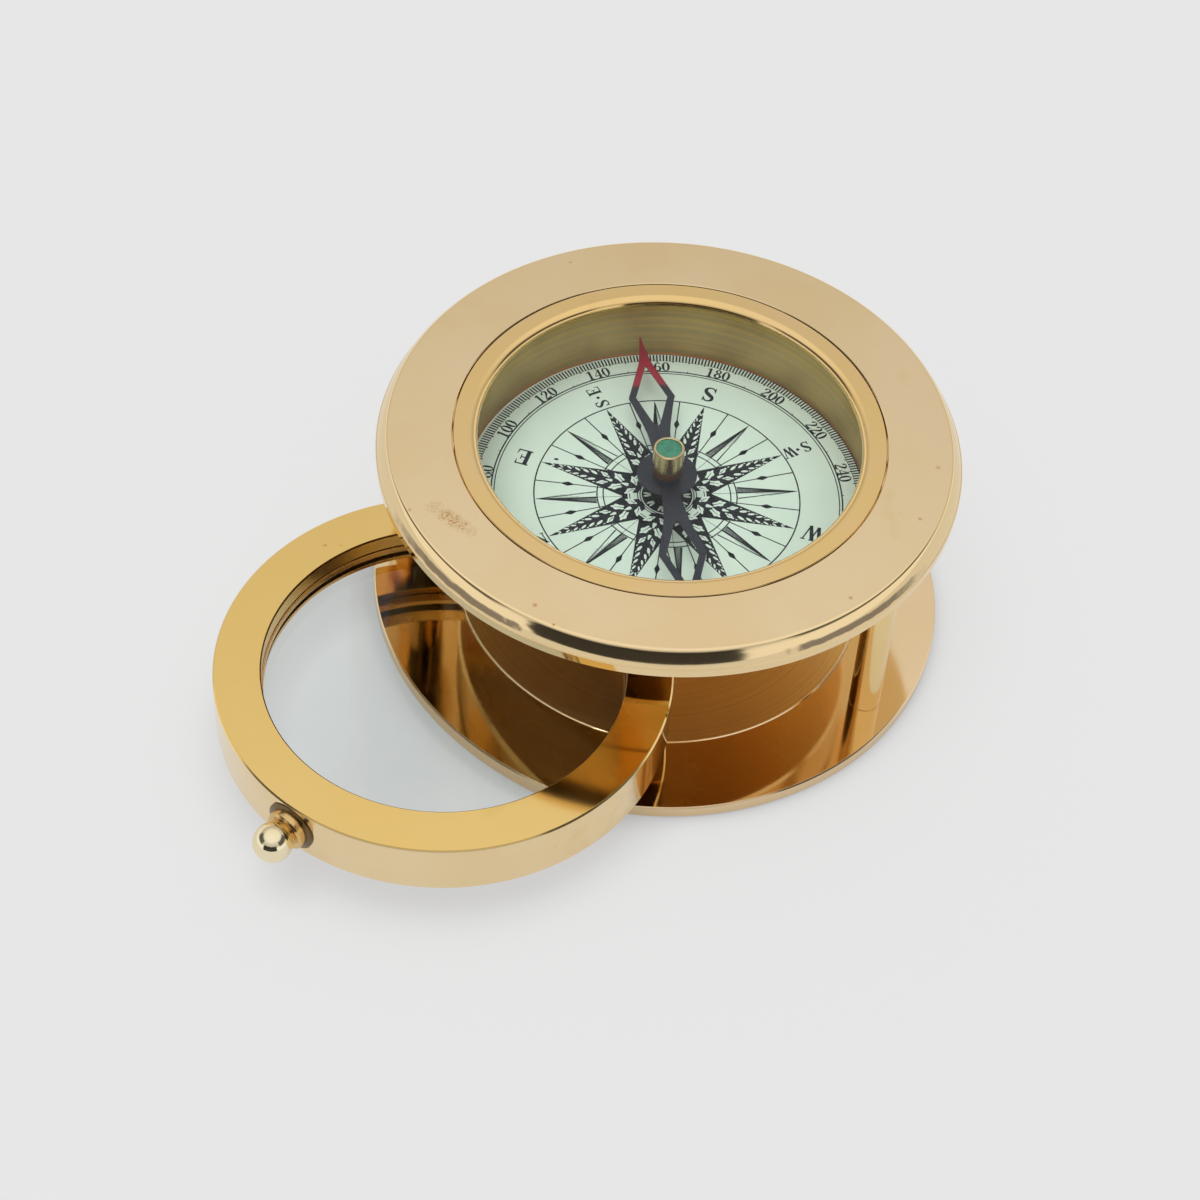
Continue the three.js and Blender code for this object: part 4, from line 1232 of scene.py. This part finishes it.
def magnifier_ring():
    outline = [
        (BORE_RADIUS, RING_FOOT, 0.05), *outer_wall(RING_RADIUS), (LIP_RADIUS + 0.18, RING_TOP, 0.05),
        (LIP_RADIUS, RING_TOP - 0.18, 0.05), (LIP_RADIUS, LIP_FOOT, 0.05), (BORE_RADIUS, LIP_FOOT, 0.05),
    ]
    ring = turned(eased(outline), 256, (POST_CIRCLE, 0))
    lug = turned(eased([(0, RING_FOOT), *outer_wall(LUG_RADIUS), (0, RING_TOP)]), 96)
    web = bmesh.new()
    web_half_width, web_reach = 3.6, 6.2
    side = [corner[:2] for corner in outer_wall(web_half_width)]
    section = side + [(-y, z) for y, z in reversed(side)]
    ends = []
    for x in (0.0, web_reach):
        ends.append([web.verts.new((x * MM, y * MM, z * MM)) for y, z in section])
    for i in range(len(section)):
        k = (i + 1) % len(section)
        web.faces.new((ends[0][i], ends[0][k], ends[1][k], ends[1][i]))
    web.faces.new(ends[0])
    web.faces.new(ends[1])
    bore = round_bar(2.08, 5.3, 15.0, 96)
    knob_way = Matrix.Translation((POST_CIRCLE * MM, 0, RING_MIDDLE * MM))
    knob_way @= Matrix.Rotation(math.radians(KNOB_ANGLE), 4, "Z") @ Matrix.Rotation(math.pi / 2, 4, "Y")
    seat = placed(round_bar(3.6, KNOB_SEAT, 31.0, 96), knob_way)
    hole = placed(round_bar(1.1, 25.4, 30.0, 48), knob_way)
    tools = [("UNION", lug), ("UNION", web), ("DIFFERENCE", bore), ("DIFFERENCE", seat), ("DIFFERENCE", hole)]
    made = add_object("magnifier_ring_turned", placed(shaped("ring", ring, tools), RING_PLACE))
    finish_piece(made, RING_BRASS, "magnifier", "polished_brass", "magnifier_ring")

    collar = [
        (1.1, KNOB_SEAT, 0.03), (3.45, KNOB_SEAT, 0.03), (3.45, KNOB_SEAT + 0.25, 0.05),
        (2.87, KNOB_FRONT, 0.05), (1.1, KNOB_FRONT, 0.03),
    ]
    knob = [
        (0, 25.6), (1.0, 25.6, 0.1), (1.0, KNOB_FRONT), (2.75, KNOB_FRONT, 0.03), (2.75, 30.35, 0.06),
        (2.50, 30.6, 0.06), (1.78, 30.6, 0.05),
        *arc(0, BALL_CENTRE, BALL_RADIUS, BALL_RADIUS, -41.83, 90, 28),
    ]
    way = RING_PLACE @ knob_way
    # The collar carries the painted shade of the recess round the knob's foot.
    for name, outline, material in (("knob_collar", collar, KNOB_COLLAR_PAINTED_SHADE), ("knob", knob, KNOB_BRASS)):
        turned_piece(name + "_turned", outline, 96, material, "polished_brass", name, "magnifier", place=way)


def lens_and_rings():
    rim = 22.9
    crown = math.sqrt(LENS_SPHERE ** 2 - rim ** 2)
    steps = [rim * i / 24 for i in range(25)]
    rise = [(radius, math.sqrt(LENS_SPHERE ** 2 - radius ** 2) - crown) for radius in steps]
    lens = [(radius, LENS_FOOT - height) for radius, height in rise]
    lens += [(LENS_RADIUS, LENS_FOOT, 0.08), (LENS_RADIUS, LENS_TOP, 0.08)]
    lens += [(radius, LENS_TOP + height) for radius, height in reversed(rise)]
    low, high = LENS_TOP, LENS_TOP + 0.95
    seat = [(23.0, low, 0.05), (LENS_RADIUS, low, 0.03), (LENS_RADIUS, high, 0.03), (23.0, high, 0.1)]
    low, high = LENS_FOOT - 0.8, LENS_FOOT
    holder = [(23.2, low, 0.08), (LENS_RADIUS, low, 0.05), (LENS_RADIUS, high, 0.03), (23.2, high, 0.05)]
    for name, outline, material, slot, replaced in (
        ("lens_ground", lens, LENS_GLASS, "lens_glass", "lens"),
        ("lens_seat_ring_turned", seat, TURNED_BRASS, "turned_brass", "lens_seat_ring"),
        ("lens_retainer_turned", holder, TURNED_BRASS, "turned_brass", "lens_retainer"),
    ):
        turned_piece(name, outline, 192, material, slot, replaced, "magnifier", place=RING_PLACE_MIDDLE)


base_plate()
top_plate()
posts_and_sleeves()
compass_case()
dial_print()
needle_sheet()
needle_cap()
magnifier_ring()
lens_and_rings()


# Pale floor. What the camera, the metal and the glass see of it is mostly its plain colour, dimmed near the
# object into a painted contact shadow.
BACKGROUND = (0.787, 0.787, 0.787)


def make_floor():
    mesh = bmesh.new()
    reach = 6.0
    corners = ((-reach, -reach), (reach, -reach), (reach, reach), (-reach, reach))
    mesh.faces.new([mesh.verts.new((x, y, -0.05 * MM)) for x, y in corners])
    floor = add_object("floor", mesh)
    material, shader, place = new_material("floor paper", roughness=0.9, specular_ior_level=0.0)
    tree = shader.id_data
    join(mixed(noise(place, 300.0, 3.0), (0.80, 0.80, 0.80), (0.83, 0.83, 0.83)), shader, "Base Color")
    path = node(tree, "ShaderNodeLightPath").outputs
    seen = larger(path["Is Camera Ray"], path["Is Glossy Ray"])
    seen = larger(seen, path["Is Transmission Ray"])
    # Painted shadow: ambient occlusion dims the plain colour near the object.
    painted_contact_shadow = node(tree, "ShaderNodeAmbientOcclusion", {"Distance": 9 * MM})
    shade = ramp(painted_contact_shadow.outputs["AO"], 0.25, 1.0, 0.62, 1.0)
    plain = node(tree, "ShaderNodeEmission", {"Color": (*BACKGROUND, 1), "Strength": shade})
    share_surface(times(seen, 0.84), shader, plain)
    floor.data.materials.append(material)


def make_world():
    """Soft white surroundings, brighter overhead and at the horizon, with a dim soft patch in front and one
    higher up at each side."""
    world = bpy.data.worlds.new("studio")
    bpy.context.scene.world = world
    world.use_nodes = True
    tree = world.node_tree
    tree.nodes.clear()
    direction = node(tree, "ShaderNodeTexCoord").outputs["Generated"]
    parts = split(direction)
    high = math_node("ARCSINE", parts[2])
    level = larger(turn_ramp(high, 30, 60, 0.60, 1.0), turn_ramp(high, 14, 28, 1.0, 0.60))
    front = math_node("ARCTAN2", parts[0], times(parts[1], -1.0))
    uneven = scaled(noise(direction, 5.0, 3.0), 0.2, -0.1)
    across = math_node("ADD", front, uneven)
    upward = math_node("ADD", high, times(uneven, 0.5))
    in_front = times(window(across, -44, -40, 27, 31), window(upward, -6, -1, 24, 30))
    shade = scaled(in_front, -0.95, 1.0)
    beyond = larger(turn_ramp(across, -62, -52, 1.0, 0.0), turn_ramp(across, 44, 54))
    ahead = turn_ramp(math_node("ABSOLUTE", across), 105, 125, 1.0, 0.0)
    at_sides = times(times(beyond, ahead), window(upward, 14, 19, 38, 48))
    shade = scaled(at_sides, -0.8, shade)
    camera_ray = node(tree, "ShaderNodeLightPath").outputs["Is Camera Ray"]
    colour = mixed(camera_ray, times(level, shade), BACKGROUND)
    light = node(tree, "ShaderNodeBackground", {"Color": colour, "Strength": 1.0})
    node(tree, "ShaderNodeOutputWorld", {"Surface": light.outputs[0]})


def make_lamp():
    lamp = bpy.data.objects.new("soft lamp", bpy.data.lights.new("soft lamp", "AREA"))
    lamp.data.shape = "DISK"
    lamp.data.size = 0.9
    lamp.data.energy = 6.0
    lamp.visible_glossy = False
    lamp.location = (-0.15, -0.25, 1.25)
    lamp.rotation_euler = (-lamp.location).to_track_quat("-Z", "Y").to_euler()
    bpy.context.scene.collection.objects.link(lamp)


make_floor()
make_world()
make_lamp()
bpy.context.scene.view_settings.view_transform = "Standard"
